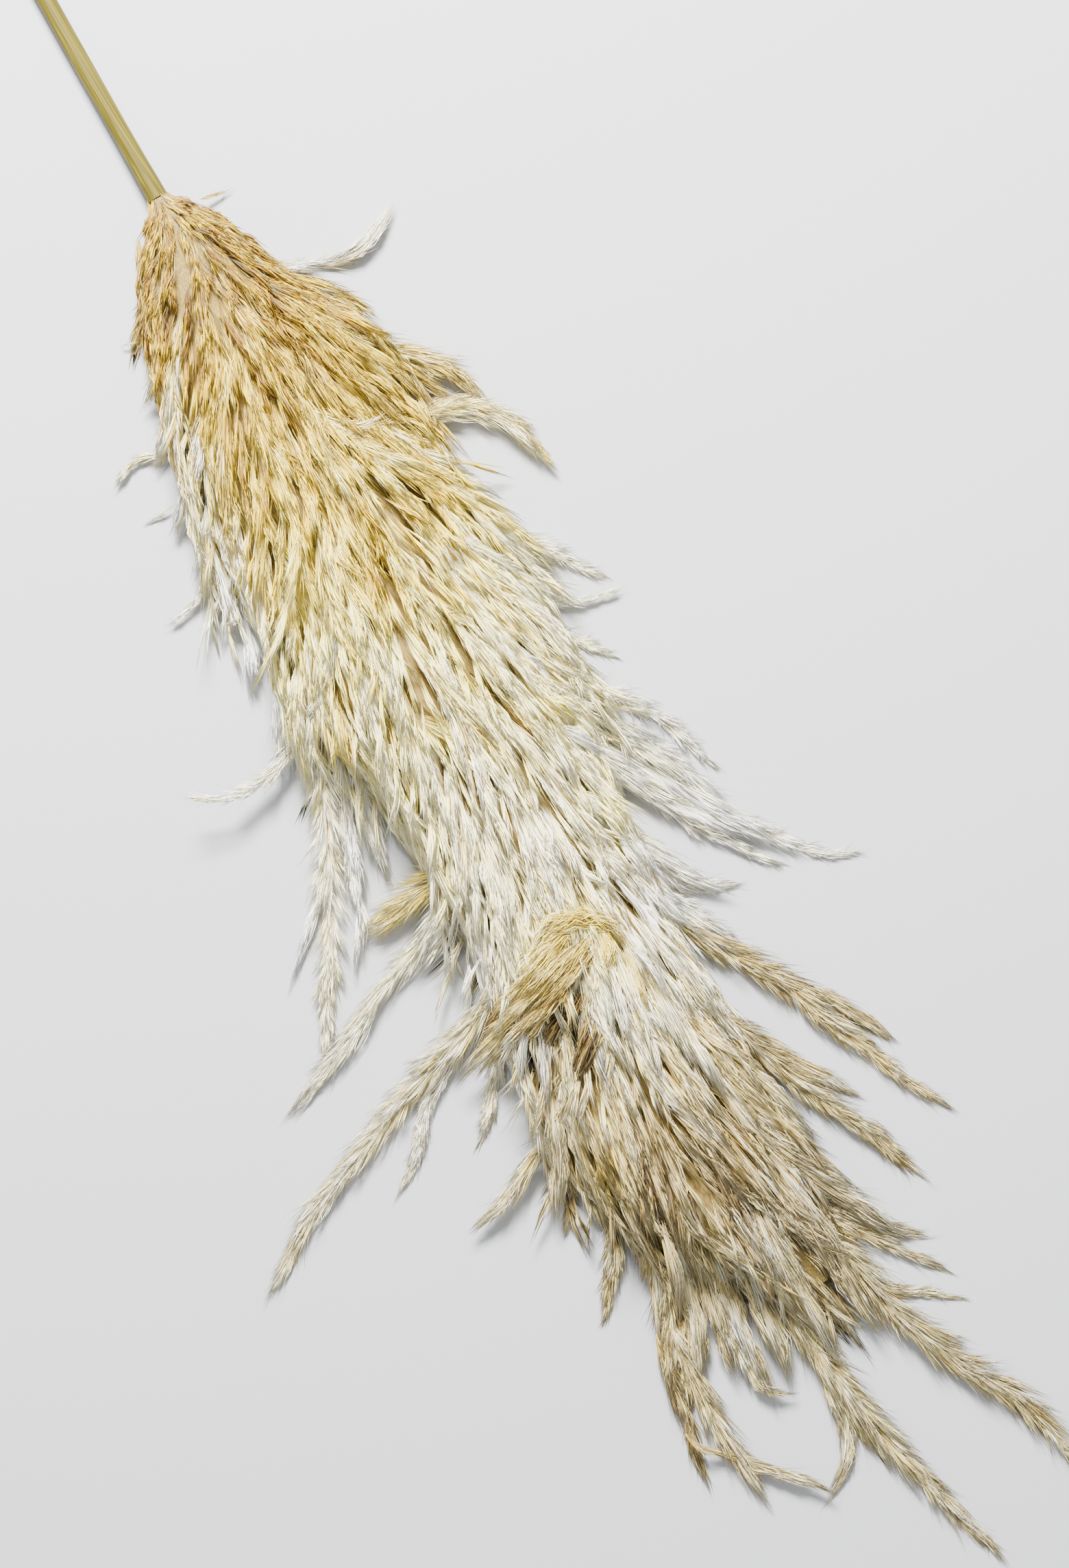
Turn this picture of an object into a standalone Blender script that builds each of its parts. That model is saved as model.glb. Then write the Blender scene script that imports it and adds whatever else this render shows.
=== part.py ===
"""Pampas grass stem with its plume, cut and lying on a flat surface.

Metres, +Z up. +X runs from the cut end of the stem to the tip of the plume, and the
surface that the stem lies on is Z = 0. The origin is the middle of the whole, on that surface.
"""
import math
import random

import bmesh
import bpy
from mathutils import Vector

# Driving dimensions, in metres
METRES_PER_PIXEL = 0.00027
STEM_RADIUS = 0.0037
STEM_COLLAR_RADIUS = 0.0042
BARE_STEM_LENGTH = 0.34
STEM_BASE_HEIGHT = 0.0068
STEM_SWAY = 0.009
NODE_FROM_CUT = 0.085
NODE_SWELL = 0.0007
PITH_DISH = 0.0012
RIND_THICKNESS = 0.0009
GAP = 0.0003
EDGE_HEIGHT = 0.0065
UNDERCUT = 0.001
LOCK_LENGTH = 0.088
LOCK_HALF_WIDTH = 0.0105
LOCK_HALF_HEIGHT = 0.0048
LOCK_SPACING = 0.0215
LOCK_ROW_STEP = 0.046
LOCK_TIP_LIFT = 0.0035
LOCK_OVERHANG = 0.006
LOCK_WIDTHS = (0.0, 0.82, 1.0, 0.72, 0.0)
CREST_THICKNESS = 0.30
TREND_REACH = 0.018
MERGE_DISTANCES = (0.00008, 0.00004, 0.00002)
CUTTER_NUDGES = (0.0, 0.00002, -0.00002, 0.00005, -0.00005)
ROOT_TUCK = 0.016
PLUMELET_STEP = 0.0135
FLATNESS = 0.62

# Places in the picture, in its pixels, counted right and down
ORIGIN_PIXEL = (377.7, 842.9)
STEM_PIXEL = (67.0, 0.0)
PLUME_BASE_PIXEL = (234.0, 295.0)
PLUME_TIP_PIXEL = (1452.0, 2268.0)

# How far the hair splays from the plume's outline, in degrees
SPLAY = 13.0
SEED = 11

# The dense middle of the plume: distance from its base, +Y edge, -Y edge, crown
BODY_STATIONS = (
    (0.0000, 0.0042, -0.0042, 0.0110),
    (0.0048, 0.0062, -0.0062, 0.0130),
    (0.0100, 0.0125, -0.0125, 0.0165),
    (0.0165, 0.0160, -0.0200, 0.0210),
    (0.0300, 0.0195, -0.0240, 0.0285),
    (0.0520, 0.0260, -0.0370, 0.0365),
    (0.0820, 0.0430, -0.0440, 0.0440),
    (0.1220, 0.0400, -0.0540, 0.0485),
    (0.1650, 0.0430, -0.0540, 0.0510),
    (0.2050, 0.0450, -0.0640, 0.0520),
    (0.2400, 0.0450, -0.0500, 0.0515),
    (0.2800, 0.0330, -0.0470, 0.0500),
    (0.3200, 0.0220, -0.0500, 0.0475),
    (0.3700, 0.0190, -0.0600, 0.0440),
    (0.4200, 0.0170, -0.0620, 0.0385),
    (0.4550, 0.0160, -0.0450, 0.0310),
    (0.4800, 0.0120, -0.0280, 0.0225),
    (0.4980, 0.0040, -0.0120, 0.0130),
)

# The golden crest, whose locks arch over the rest: width, lift of each point, route
CREST_LOCKS = (
    (0.0150, (-0.005, 0.0005, 0.0025, 0.0015, -0.002),
     ((930, 1420), (905, 1370), (865, 1342), (825, 1345), (790, 1380))),
    (0.0170, (-0.005, 0.0005, 0.0030, 0.0030, 0.0020),
     ((905, 1345), (850, 1372), (812, 1418), (775, 1460), (730, 1508))),
)

# The free side branches: name, width, height of the root, lift of the tip, route in the picture
PLUMELETS = (
    ("plumelet_right_01", 0.0055, 0.012, 0.000,
     ((405, 395), (440, 390), (480, 385), (520, 372), (550, 345), (567, 312))),
    ("plumelet_right_02", 0.0110, 0.014, 0.000,
     ((440, 450), (500, 500), (560, 520), (640, 535), (695, 575))),
    ("plumelet_right_03", 0.0085, 0.014, 0.004,
     ((570, 625), (640, 600), (700, 595), (740, 610), (780, 650), (808, 684))),
    ("plumelet_right_04", 0.0092, 0.012, 0.000,
     ((690, 742), (750, 785), (800, 805), (850, 830), (884, 844))),
    ("plumelet_right_05", 0.0045, 0.010, 0.003,
     ((770, 882), (800, 880), (845, 880), (900, 864))),
    ("plumelet_right_06", 0.0072, 0.010, 0.000,
     ((770, 898), (790, 910), (840, 935), (892, 958))),
    ("plumelet_right_07", 0.0092, 0.012, 0.000,
     ((830, 988), (880, 1010), (930, 1030), (970, 1055), (1010, 1090), (1042, 1118))),
    ("plumelet_right_08", 0.0096, 0.012, 0.000,
     ((900, 1055), (940, 1080), (980, 1110), (1020, 1150), (1060, 1185), (1110, 1210),
      (1160, 1235), (1200, 1245), (1250, 1245))),
    ("plumelet_right_09", 0.0092, 0.009, 0.000,
     ((860, 1095), (950, 1150), (1010, 1200), (1060, 1225), (1100, 1248), (1138, 1263))),
    ("plumelet_right_10", 0.0105, 0.012, 0.000,
     ((880, 1185), (940, 1240), (980, 1280), (1020, 1292), (1074, 1291))),
    ("plumelet_right_11", 0.0105, 0.010, 0.000,
     ((900, 1225), (950, 1285), (1000, 1325), (1074, 1372))),
    ("plumelet_right_12", 0.0130, 0.012, 0.000,
     ((960, 1330), (1000, 1350), (1080, 1400), (1150, 1440), (1200, 1485), (1260, 1525),
      (1300, 1560), (1340, 1590), (1382, 1614))),
    ("plumelet_right_13", 0.0066, 0.008, 0.000,
     ((1150, 1430), (1200, 1450), (1240, 1478), (1294, 1512))),
    ("plumelet_right_14", 0.0135, 0.012, 0.000,
     ((1020, 1465), (1070, 1500), (1130, 1550), (1180, 1590), (1220, 1620), (1270, 1650),
      (1310, 1690), (1348, 1718))),
    ("plumelet_right_15", 0.0062, 0.007, 0.000,
     ((1130, 1530), (1170, 1555), (1205, 1575), (1245, 1596))),
    ("plumelet_right_16", 0.0092, 0.008, 0.000,
     ((1140, 1715), (1180, 1740), (1260, 1780), (1348, 1802))),
    ("plumelet_right_17", 0.0072, 0.008, 0.000,
     ((1210, 1775), (1250, 1795), (1300, 1818), (1378, 1852))),
    ("plumelet_right_18", 0.0048, 0.006, 0.000,
     ((1240, 1850), (1280, 1872), (1320, 1885), (1350, 1882), (1398, 1894))),
    ("plumelet_right_19", 0.0175, 0.014, 0.000,
     ((1110, 1705), (1150, 1750), (1200, 1800), (1250, 1850), (1300, 1910), (1350, 1950),
      (1400, 1990), (1450, 2015), (1500, 2050), (1545, 2100), (1580, 2145), (1615, 2195))),
    ("plumelet_right_20", 0.0066, 0.009, 0.000,
     ((1140, 1800), (1175, 1850), (1212, 1900), (1244, 1946))),
    ("plumelet_bottom_01", 0.0165, 0.012, 0.000,
     ((1030, 1660), (1060, 1750), (1110, 1850), (1180, 1950), (1230, 2020), (1290, 2095),
      (1350, 2160), (1390, 2205), (1430, 2240), (1458, 2271))),
    ("plumelet_bottom_02", 0.0078, 0.006, 0.000,
     ((1180, 1965), (1205, 2010), (1228, 2055), (1240, 2105), (1235, 2150), (1213, 2183))),
    ("plumelet_bottom_03", 0.0060, 0.006, 0.000,
     ((1225, 2035), (1250, 2075), (1270, 2105), (1292, 2134))),
    ("plumelet_bottom_04", 0.0040, 0.008, 0.006,
     ((1068, 2125), (1090, 2132), (1120, 2145), (1170, 2155), (1206, 2172))),
    ("plumelet_bottom_05", 0.0195, 0.014, 0.000,
     ((930, 1770), (960, 1830), (980, 1900), (990, 1960), (1000, 2000), (1002, 2060))),
    ("plumelet_bottom_06", 0.0075, 0.007, 0.000,
     ((985, 2020), (1000, 2060), (1012, 2110), (1032, 2164))),
    ("plumelet_bottom_07", 0.0105, 0.008, 0.002,
     ((1010, 2005), (1035, 2055), (1075, 2120), (1118, 2189))),
    ("plumelet_bottom_08", 0.0092, 0.009, 0.004,
     ((1030, 1850), (1055, 1910), (1080, 1970), (1110, 2025), (1148, 2031))),
    ("plumelet_bottom_09", 0.0105, 0.010, 0.000,
     ((885, 1720), (895, 1780), (897, 1830), (888, 1890), (880, 1934))),
    ("plumelet_left_01", 0.0040, 0.012, 0.003,
     ((262, 660), (245, 665), (210, 668), (190, 680), (172, 707))),
    ("plumelet_left_02", 0.0045, 0.010, 0.003,
     ((316, 760), (310, 790), (300, 850), (285, 885), (253, 909))),
    ("plumelet_left_03", 0.0066, 0.014, 0.020,
     ((450, 1060), (430, 1090), (395, 1135), (350, 1160), (318, 1166), (284, 1165))),
    ("plumelet_left_04", 0.0160, 0.016, 0.000,
     ((475, 1060), (470, 1110), (478, 1200), (482, 1300), (482, 1400), (474, 1480), (475, 1548))),
    ("plumelet_left_05", 0.0165, 0.020, 0.000,
     ((700, 1245), (655, 1275), (600, 1310), (570, 1335), (535, 1360))),
    ("plumelet_left_06", 0.0120, 0.012, 0.000,
     ((690, 1265), (650, 1320), (600, 1400), (560, 1440), (530, 1490), (500, 1530), (480, 1560),
      (450, 1590), (426, 1622))),
    ("plumelet_left_07", 0.0140, 0.014, 0.000,
     ((735, 1430), (700, 1480), (650, 1540), (600, 1590), (560, 1640), (520, 1690), (480, 1740),
      (450, 1780), (430, 1820), (397, 1885))),
    ("plumelet_left_08", 0.0072, 0.009, 0.000,
     ((690, 1500), (660, 1550), (622, 1610), (612, 1660), (605, 1700), (584, 1740))),
    ("plumelet_left_09", 0.0085, 0.010, 0.000,
     ((735, 1490), (728, 1540), (720, 1580), (712, 1630), (699, 1668))),
    ("plumelet_left_10", 0.0115, 0.020, 0.006,
     ((862, 1460), (850, 1510), (840, 1560), (820, 1620), (790, 1670), (760, 1710), (740, 1750),
      (697, 1788))),
    ("plumelet_left_11", 0.0070, 0.008, 0.000,
     ((812, 1690), (828, 1722), (834, 1752), (826, 1792))),
)

# Those that leave the plume on its upper face
OVER_THE_BODY = ("plumelet_left_03", "plumelet_left_05", "plumelet_left_10", "plumelet_right_03")
OVER_SHARE = 0.9

STEM_COLOUR = (0.52, 0.38, 0.13)
PLUME_COLOUR = (0.62, 0.50, 0.30)
PLUMELET_COLOUR = (0.66, 0.57, 0.40)

# The lie of the plume in the picture: its long axis, from straight down
AXIS_RUN = PLUME_TIP_PIXEL[0] - PLUME_BASE_PIXEL[0]
AXIS_DROP = PLUME_TIP_PIXEL[1] - PLUME_BASE_PIXEL[1]
AXIS_TURN = math.atan2(AXIS_RUN, AXIS_DROP)
UP = Vector((0.0, 0.0, 1.0))


def to_frame(pixel, height=0.0):
    """Where a pixel of the picture lies in the frame, at a height above the surface."""
    right = (pixel[0] - ORIGIN_PIXEL[0]) * METRES_PER_PIXEL
    down = (pixel[1] - ORIGIN_PIXEL[1]) * METRES_PER_PIXEL
    along = right * math.sin(AXIS_TURN) + down * math.cos(AXIS_TURN)
    aside = right * math.cos(AXIS_TURN) - down * math.sin(AXIS_TURN)
    return Vector((along, aside, height))


BASE = to_frame(PLUME_BASE_PIXEL)


def new_material(name, colour, roughness):
    material = bpy.data.materials.new(name)
    material.use_nodes = True
    shader = material.node_tree.nodes["Principled BSDF"]
    shader.inputs["Base Color"].default_value = (*colour, 1.0)
    shader.inputs["Roughness"].default_value = roughness
    shader.inputs["Metallic"].default_value = 0.0
    return material


def add_object(name, bm, material):
    """An object with the mesh that bm holds, its faces pointing out."""
    bmesh.ops.recalc_face_normals(bm, faces=bm.faces)
    mesh = bpy.data.meshes.new(name)
    bm.to_mesh(mesh)
    bm.free()
    mesh.materials.append(material)
    piece = bpy.data.objects.new(name, mesh)
    bpy.context.collection.objects.link(piece)
    return piece


def blend_points(before, start, end, after, t):
    """A point between start and end on a smooth curve through all four."""
    return 0.5 * (
        2.0 * start
        + (end - before) * t
        + (2.0 * before - 5.0 * start + 4.0 * end - after) * t * t
        + (3.0 * start - before - 3.0 * end + after) * t * t * t
    )


def smooth_route(points, count):
    """count + 1 points at equal steps along a smooth curve through the given ones."""
    padded = [2 * points[0] - points[1], *points, 2 * points[-1] - points[-2]]
    fine = []
    for i in range(len(points) - 1):
        for k in range(12):
            fine.append(blend_points(*padded[i:i + 4], k / 12))
    fine.append(points[-1])
    lengths = [0.0]
    for start, end in zip(fine, fine[1:]):
        lengths.append(lengths[-1] + (end - start).length)
    route = []
    segment = 0
    for i in range(count + 1):
        wanted = lengths[-1] * i / count
        while segment < len(fine) - 2 and lengths[segment + 1] < wanted:
            segment += 1
        part = (wanted - lengths[segment]) / (lengths[segment + 1] - lengths[segment])
        route.append(fine[segment].lerp(fine[segment + 1], min(part, 1.0)))
    return route, lengths[-1]


def skin(bm, rings, start=None, end=None):
    """Faces between rings of points, closed by a point or a flat cap at each end."""
    loops = [[bm.verts.new(point) for point in ring] for ring in rings]
    sides = len(loops[0])
    for near, far in zip(loops, loops[1:]):
        for i in range(sides):
            k = (i + 1) % sides
            bm.faces.new((near[i], near[k], far[k], far[i]))
    for loop, tip in ((loops[0], start), (loops[-1], end)):
        if tip is None:
            bm.faces.new(loop)
            continue
        point = bm.verts.new(tip)
        for i in range(sides):
            bm.faces.new((loop[i], loop[(i + 1) % sides], point))
    return loops


# The stem
def stem_point(distance):
    """The stem's axis, at a distance from the plume's base back towards the cut end."""
    heading = (to_frame(STEM_PIXEL) - BASE).normalized()
    part = distance / BARE_STEM_LENGTH
    drop = (STEM_BASE_HEIGHT - STEM_RADIUS) * min(1.0, max(0.0, part * 1.6)) ** 0.8
    sway = STEM_SWAY * max(0.0, part) ** 3
    place = BASE + heading * distance + heading.cross(UP) * sway
    place.z = STEM_BASE_HEIGHT - drop
    return place


def stem_radius(distance):
    """Wider in the collar below the plume, swollen at the node, else nearly even."""
    collar = (STEM_COLLAR_RADIUS - STEM_RADIUS) * math.exp(-((distance / 0.016) ** 2))
    from_node = distance - (BARE_STEM_LENGTH - NODE_FROM_CUT)
    swell = NODE_SWELL * math.exp(-((from_node / 0.0022) ** 2))
    return STEM_RADIUS + collar + swell


def build_stem(material):
    sides = 14
    node = BARE_STEM_LENGTH - NODE_FROM_CUT
    stops = [GAP, 0.008, 0.018, 0.032, 0.07, 0.11, 0.15, 0.19, 0.225]
    stops += [node - 0.006, node - 0.002, node, node + 0.002, node + 0.006]
    stops += [0.285, 0.315, BARE_STEM_LENGTH]
    rings = []
    for distance in stops:
        centre = stem_point(distance)
        forward = (stem_point(distance - 0.001) - stem_point(distance + 0.001)).normalized()
        across = UP.cross(forward).normalized()
        rise = forward.cross(across)
        radius = stem_radius(distance)
        # the stem rests on its lowest line, so a swelling does not reach below the surface
        radius_down = min(radius, centre.z - 0.00005)
        ring = []
        for i in range(sides):
            angle = math.tau * i / sides
            side, lift = math.cos(angle), math.sin(angle)
            depth = radius if lift > 0 else radius_down
            ring.append(centre + across * side * radius + rise * lift * depth)
        rings.append(ring)
    # the cut end shows a rind around a slightly sunken pith
    centre = stem_point(BARE_STEM_LENGTH)
    forward = (stem_point(BARE_STEM_LENGTH - 0.002) - centre).normalized()
    inner = 1.0 - RIND_THICKNESS / STEM_RADIUS
    rings.append([centre.lerp(point, inner) for point in rings[-1]])
    rings.append([centre.lerp(point, inner * 0.8) + forward * PITH_DISH for point in rings[-2]])
    bm = bmesh.new()
    skin(bm, rings)
    stem = add_object("stem", bm, material)
    stem.data.shade_smooth()
    stem.data.set_sharp_from_angle(angle=math.radians(40))
    return stem


# The dense middle of the plume
def body_section(along):
    """The +Y edge, the -Y edge and the crown of the dense middle, so far from its base."""
    along = min(max(along, BODY_STATIONS[0][0]), BODY_STATIONS[-1][0])
    for near, far in zip(BODY_STATIONS, BODY_STATIONS[1:]):
        if along <= far[0]:
            part = (along - near[0]) / (far[0] - near[0])
            return [a + (b - a) * part for a, b in zip(near[1:], far[1:])]
    return BODY_STATIONS[-1][1:]


def body_share(along, aside):
    """How far across the dense middle a place is: 1 at the +Y edge, -1 at the other."""
    plus, minus, crown = body_section(along)
    return (aside - (plus + minus) / 2) / ((plus - minus) / 2)


def body_height(along, aside):
    """Height of the dense middle's upper face, falling to its edge and a little beyond."""
    plus, minus, crown = body_section(along)
    edge = min(EDGE_HEIGHT, crown * 0.6)
    share = abs(body_share(along, aside))
    if share >= 1.0:
        return edge - min(0.25 * (share - 1.0) * (plus - minus) / 2, 0.003)
    return edge + (crown - edge) * (1.0 - share ** 2.2) ** 0.6


def body_ring(along, grow):
    plus, minus, crown = body_section(along)
    middle, half = (plus + minus) / 2, (plus - minus) / 2
    ring = []
    for i in range(9):
        share = math.cos(math.pi * i / 8)
        aside = middle + half * share
        height = body_height(along, aside) + grow
        ring.append(BASE + Vector((along, aside + grow * share, height)))
    underside = max(-UNDERCUT, 0.0026 - along * 0.4) - grow
    for share in (-0.86, 0.86):
        ring.append(BASE + Vector((along, middle + (half + grow) * share, underside)))
    return ring


def add_body_core(bm, grow):
    rings = [body_ring(along, grow) for along, *edges in BODY_STATIONS]
    for ring, shift in ((rings[0], -grow), (rings[-1], grow)):
        for point in ring:
            point.x += shift
    skin(bm, rings)


def flow_angle(along, aside):
    """Which way the hair runs: with the outline, and splayed outwards from it."""
    near = body_section(along - TREND_REACH)
    far = body_section(along + TREND_REACH)
    plus_trend = (far[0] - near[0]) / (2 * TREND_REACH)
    minus_trend = (far[1] - near[1]) / (2 * TREND_REACH)
    share = max(-1.0, min(1.0, body_share(along, aside)))
    trend = minus_trend + (plus_trend - minus_trend) * (share + 1.0) / 2
    return math.atan(trend) + math.radians(SPLAY * share)


def surface_up(along, aside):
    """The upper face's own upward direction, kept from lying over too far at the edge."""
    step = 0.003
    slope_x = (body_height(along + step, aside) - body_height(along - step, aside)) / (2 * step)
    slope_y = (body_height(along, aside + step) - body_height(along, aside - step)) / (2 * step)
    slope_x = max(-0.8, min(0.8, slope_x))
    slope_y = max(-1.4, min(1.4, slope_y))
    return Vector((-slope_x, -slope_y, 1.0)).normalized()


def add_lock(bm, along, aside, size, grow):
    """One pointed lock that lies in the upper face and follows the run of the hair."""
    lifts = (-0.006, -0.0008, 0.0006, 0.0016, LOCK_TIP_LIFT)
    step = LOCK_LENGTH * size / (len(LOCK_WIDTHS) - 1)
    centres = []
    rises = []
    for lift in lifts:
        rise = surface_up(along, aside)
        height = body_height(along, aside)
        centres.append(BASE + Vector((along, aside, height)) + rise * lift)
        rises.append(rise)
        angle = flow_angle(along, aside)
        along += step * math.cos(angle)
        plus, minus, crown = body_section(along)
        aside += step * math.sin(angle)
        aside = max(minus - LOCK_OVERHANG, min(plus + LOCK_OVERHANG, aside))
    skin_lock(bm, centres, rises, LOCK_HALF_WIDTH * size, LOCK_HALF_HEIGHT * size, grow)


def skin_lock(bm, centres, rises, half_width, half_height, grow):
    """The faces of a lock round its middle line, pointed at both ends."""
    rings = []
    for i in range(1, len(LOCK_WIDTHS) - 1):
        forward = (centres[i + 1] - centres[i - 1]).normalized()
        across = rises[i].cross(forward).normalized()
        half = half_width * LOCK_WIDTHS[i] + grow
        thick = half_height * LOCK_WIDTHS[i] ** 0.5 + grow
        ring = []
        for side, lift in ((1, -0.3), (0.55, 0.75), (0, 1), (-0.55, 0.75), (-1, -0.3), (0, -1)):
            ring.append(centres[i] + across * side * half + rises[i] * lift * thick)
        rings.append(ring)
    tip = centres[-1] + (centres[-1] - centres[-2]).normalized() * grow * 4
    skin(bm, rings, centres[0], tip)


def add_crest_lock(bm, width, lifts, pixels, grow):
    """One lock of the crest, which lies over the others."""
    route, length = smooth_route([to_frame(pixel) for pixel in pixels], len(LOCK_WIDTHS) - 1)
    centres = []
    for place, lift in zip(route, lifts):
        from_base = place - BASE
        height = body_height(from_base.x, from_base.y) + lift
        centres.append(Vector((place.x, place.y, height)))
    rises = [UP] * len(centres)
    skin_lock(bm, centres, rises, width / 2, width * CREST_THICKNESS, grow)


def add_locks(bm, rng, grow):
    along = 0.008
    row = 0
    while along < 0.425:
        plus, minus, crown = body_section(along + 0.4 * LOCK_ROW_STEP)
        count = max(2, round((plus - minus) / LOCK_SPACING))
        for i in range(count):
            share = 2.0 * (i + 0.5 + 0.25 * (row % 2)) / (count + 0.25) - 1.0
            share += rng.uniform(-0.05, 0.05)
            start = along + rng.uniform(-0.008, 0.008)
            plus, minus, crown = body_section(start)
            aside = (plus + minus) / 2 + (plus - minus) / 2 * max(-0.82, min(0.82, share))
            size = rng.uniform(0.85, 1.12) * (0.62 if row == 0 else 1.0)
            if abs(share) > 0.7:
                size *= 0.72
            add_lock(bm, start, aside, size, grow)
        along += LOCK_ROW_STEP * (0.62 if row == 0 else 1.0)
        row += 1


def evaluated_bmesh(piece):
    """The piece as its modifiers make it."""
    depsgraph = bpy.context.evaluated_depsgraph_get()
    bm = bmesh.new()
    bm.from_object(piece, depsgraph)
    return bm


def keep_largest(bm):
    """Removes the crumbs that a cut leaves beside the piece itself."""
    seen = set()
    islands = []
    for first in bm.faces:
        if first in seen:
            continue
        seen.add(first)
        island = [first]
        for face in island:
            for edge in face.edges:
                for other in edge.link_faces:
                    if other not in seen:
                        seen.add(other)
                        island.append(other)
        islands.append(island)
    islands.sort(key=lambda island: sum(face.calc_area() for face in island))
    crumbs = [face for island in islands[:-1] for face in island]
    bmesh.ops.delete(bm, geom=crumbs, context="FACES")
    stray = [edge for edge in bm.edges if not edge.link_faces]
    bmesh.ops.delete(bm, geom=stray, context="EDGES")
    loose = [vert for vert in bm.verts if not vert.link_faces]
    bmesh.ops.delete(bm, geom=loose, context="VERTS")


def is_closed(bm):
    return all(len(edge.link_faces) == 2 for edge in bm.edges)


def drop_flaps(bm):
    """Removes pairs of faces that lie back to back on the same corners."""
    pairs = {}
    for face in bm.faces:
        corners = frozenset(vert.index for vert in face.verts)
        pairs.setdefault(corners, []).append(face)
    flaps = [face for faces in pairs.values() if len(faces) > 1 for face in faces]
    bmesh.ops.delete(bm, geom=flaps, context="FACES")


def clean(bm):
    """Merges what a cut leaves too small to see, and says whether the mesh is closed."""
    bmesh.ops.triangulate(bm, faces=bm.faces)
    for distance in MERGE_DISTANCES:
        trial = bm.copy()
        bmesh.ops.remove_doubles(trial, verts=trial.verts, dist=distance / 2)
        bmesh.ops.dissolve_degenerate(trial, edges=trial.edges, dist=distance)
        bmesh.ops.triangulate(trial, faces=trial.faces)
        trial.verts.index_update()
        drop_flaps(trial)
        keep_largest(trial)
        if is_closed(trial):
            return trial, True
        trial.free()
    return bm, False


def add_boolean(piece, cutter, operation, crossing=False):
    modifier = piece.modifiers.new(cutter.name, "BOOLEAN")
    modifier.operation = operation
    modifier.object = cutter
    modifier.solver = "EXACT"
    modifier.use_self = crossing


def mark_cutter(cutter):
    cutter.hide_render = True
    cutter.display_type = "WIRE"


def floor_cutter(material):
    """A block under the surface, to cut what rests on it off flat."""
    bm = bmesh.new()
    bmesh.ops.create_cube(bm, size=1.0)
    for vert in bm.verts:
        vert.co = Vector((vert.co.x * 1.4, vert.co.y * 0.8, (vert.co.z - 0.5) * 0.03))
    cutter = add_object("floor_cutter", bm, material)
    mark_cutter(cutter)
    return cutter


def cut_away(piece, cutter):
    """Cuts one solid out of another, again with the cutter a hair aside if a seam stays open."""
    for nudge in CUTTER_NUDGES:
        cutter.location = (nudge, -0.7 * nudge, 0.4 * nudge)
        add_boolean(piece, cutter, "DIFFERENCE", crossing=True)
        bm = evaluated_bmesh(piece)
        piece.modifiers.clear()
        keep_largest(bm)
        bm, closed = clean(bm)
        if closed:
            break
    cutter.location = (0.0, 0.0, 0.0)
    bm.to_mesh(piece.data)
    bm.free()


def build_body(name, material, floor, grow=0.0):
    """The dense middle with its locks, or with a growth the same form a little larger."""
    bm = bmesh.new()
    add_body_core(bm, grow)
    add_locks(bm, random.Random(SEED), grow)
    for width, lifts, pixels in CREST_LOCKS:
        add_crest_lock(bm, width, lifts, pixels, grow)
    body = add_object(name, bm, material)
    cut_away(body, floor)
    return body


# The free side branches
def width_share(t):
    """A plumelet's width along it: narrow at the root, full a third of the way, pointed."""
    if t < 0.3:
        return 0.45 + 0.55 * math.sin(math.pi / 2 * t / 0.3)
    return math.cos(math.pi / 2 * (t - 0.3) / 0.7) ** 0.75


def build_plumelet(name, width, root_height, tip_lift, pixels, material):
    """A flattened, pointed plumelet whose tufts stand out in turn to its two sides."""
    points = [to_frame(pixel) for pixel in pixels]
    points[0] += (points[0] - points[1]).normalized() * ROOT_TUCK
    length = sum((b - a).length for a, b in zip(points, points[1:]))
    count = max(5, min(18, round(length / PLUMELET_STEP)))
    route, length = smooth_route(points, count)
    centres = []
    for i, place in enumerate(route):
        t = i / count
        share = width_share(min(t, 0.97))
        lie = width / 2 * FLATNESS * share
        settle = max(0.0, 1.0 - t / 0.45) ** 2
        height = lie + (root_height - lie) * settle + tip_lift * t ** 1.5
        if name in OVER_THE_BODY:
            from_base = place - BASE
            height = max(height, body_height(from_base.x, from_base.y) + lie * OVER_SHARE)
        centres.append(Vector((place.x, place.y, height)))
    rings = []
    for i in range(1, count):
        t = i / count
        forward = centres[i + 1] - centres[i - 1]
        forward.z = 0.0
        across = UP.cross(forward).normalized()
        half = width / 2 * width_share(t)
        sway = 0.22 if i % 2 else -0.22
        thick = half * FLATNESS
        ring = []
        for side, lift in ((1, 0), (0.5, 0.86), (-0.5, 0.86), (-1, 0), (-0.5, -0.86), (0.5, -0.86)):
            reach = half * (1 + sway) if side > 0 else half * (1 - sway)
            point = centres[i] + across * side * reach + UP * lift * thick / 0.86
            point.z = max(point.z, 0.0)
            ring.append(point)
        rings.append(ring)
    start = centres[0]
    end = centres[-1]
    bm = bmesh.new()
    skin(bm, rings, start, end)
    return add_object(name, bm, material)


def inflated_copy(piece, material):
    """A cutter of the piece's own form, larger by the gap all round."""
    bm = bmesh.new()
    bm.from_mesh(piece.data)
    bm.normal_update()
    moves = [vert.normal * vert.calc_shell_factor() for vert in bm.verts]
    for vert, move in zip(bm.verts, moves):
        vert.co += move.normalized() * min(move.length, 1.6) * GAP
    cutter = add_object(piece.name + "_cutter", bm, material)
    mark_cutter(cutter)
    return cutter


def box_of(piece):
    corners = [vert.co for vert in piece.data.vertices]
    low = Vector([min(corner[i] for corner in corners) for i in range(3)])
    high = Vector([max(corner[i] for corner in corners) for i in range(3)])
    return low, high


def boxes_meet(first, second):
    low_a, high_a = box_of(first)
    low_b, high_b = box_of(second)
    return all(low_a[i] < high_b[i] and low_b[i] < high_a[i] for i in range(3))


def carve(piece, cutters):
    """Cuts the pieces already in place out of this one, and keeps its free part."""
    for cutter in cutters:
        if boxes_meet(piece, cutter):
            cut_away(piece, cutter)


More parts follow.
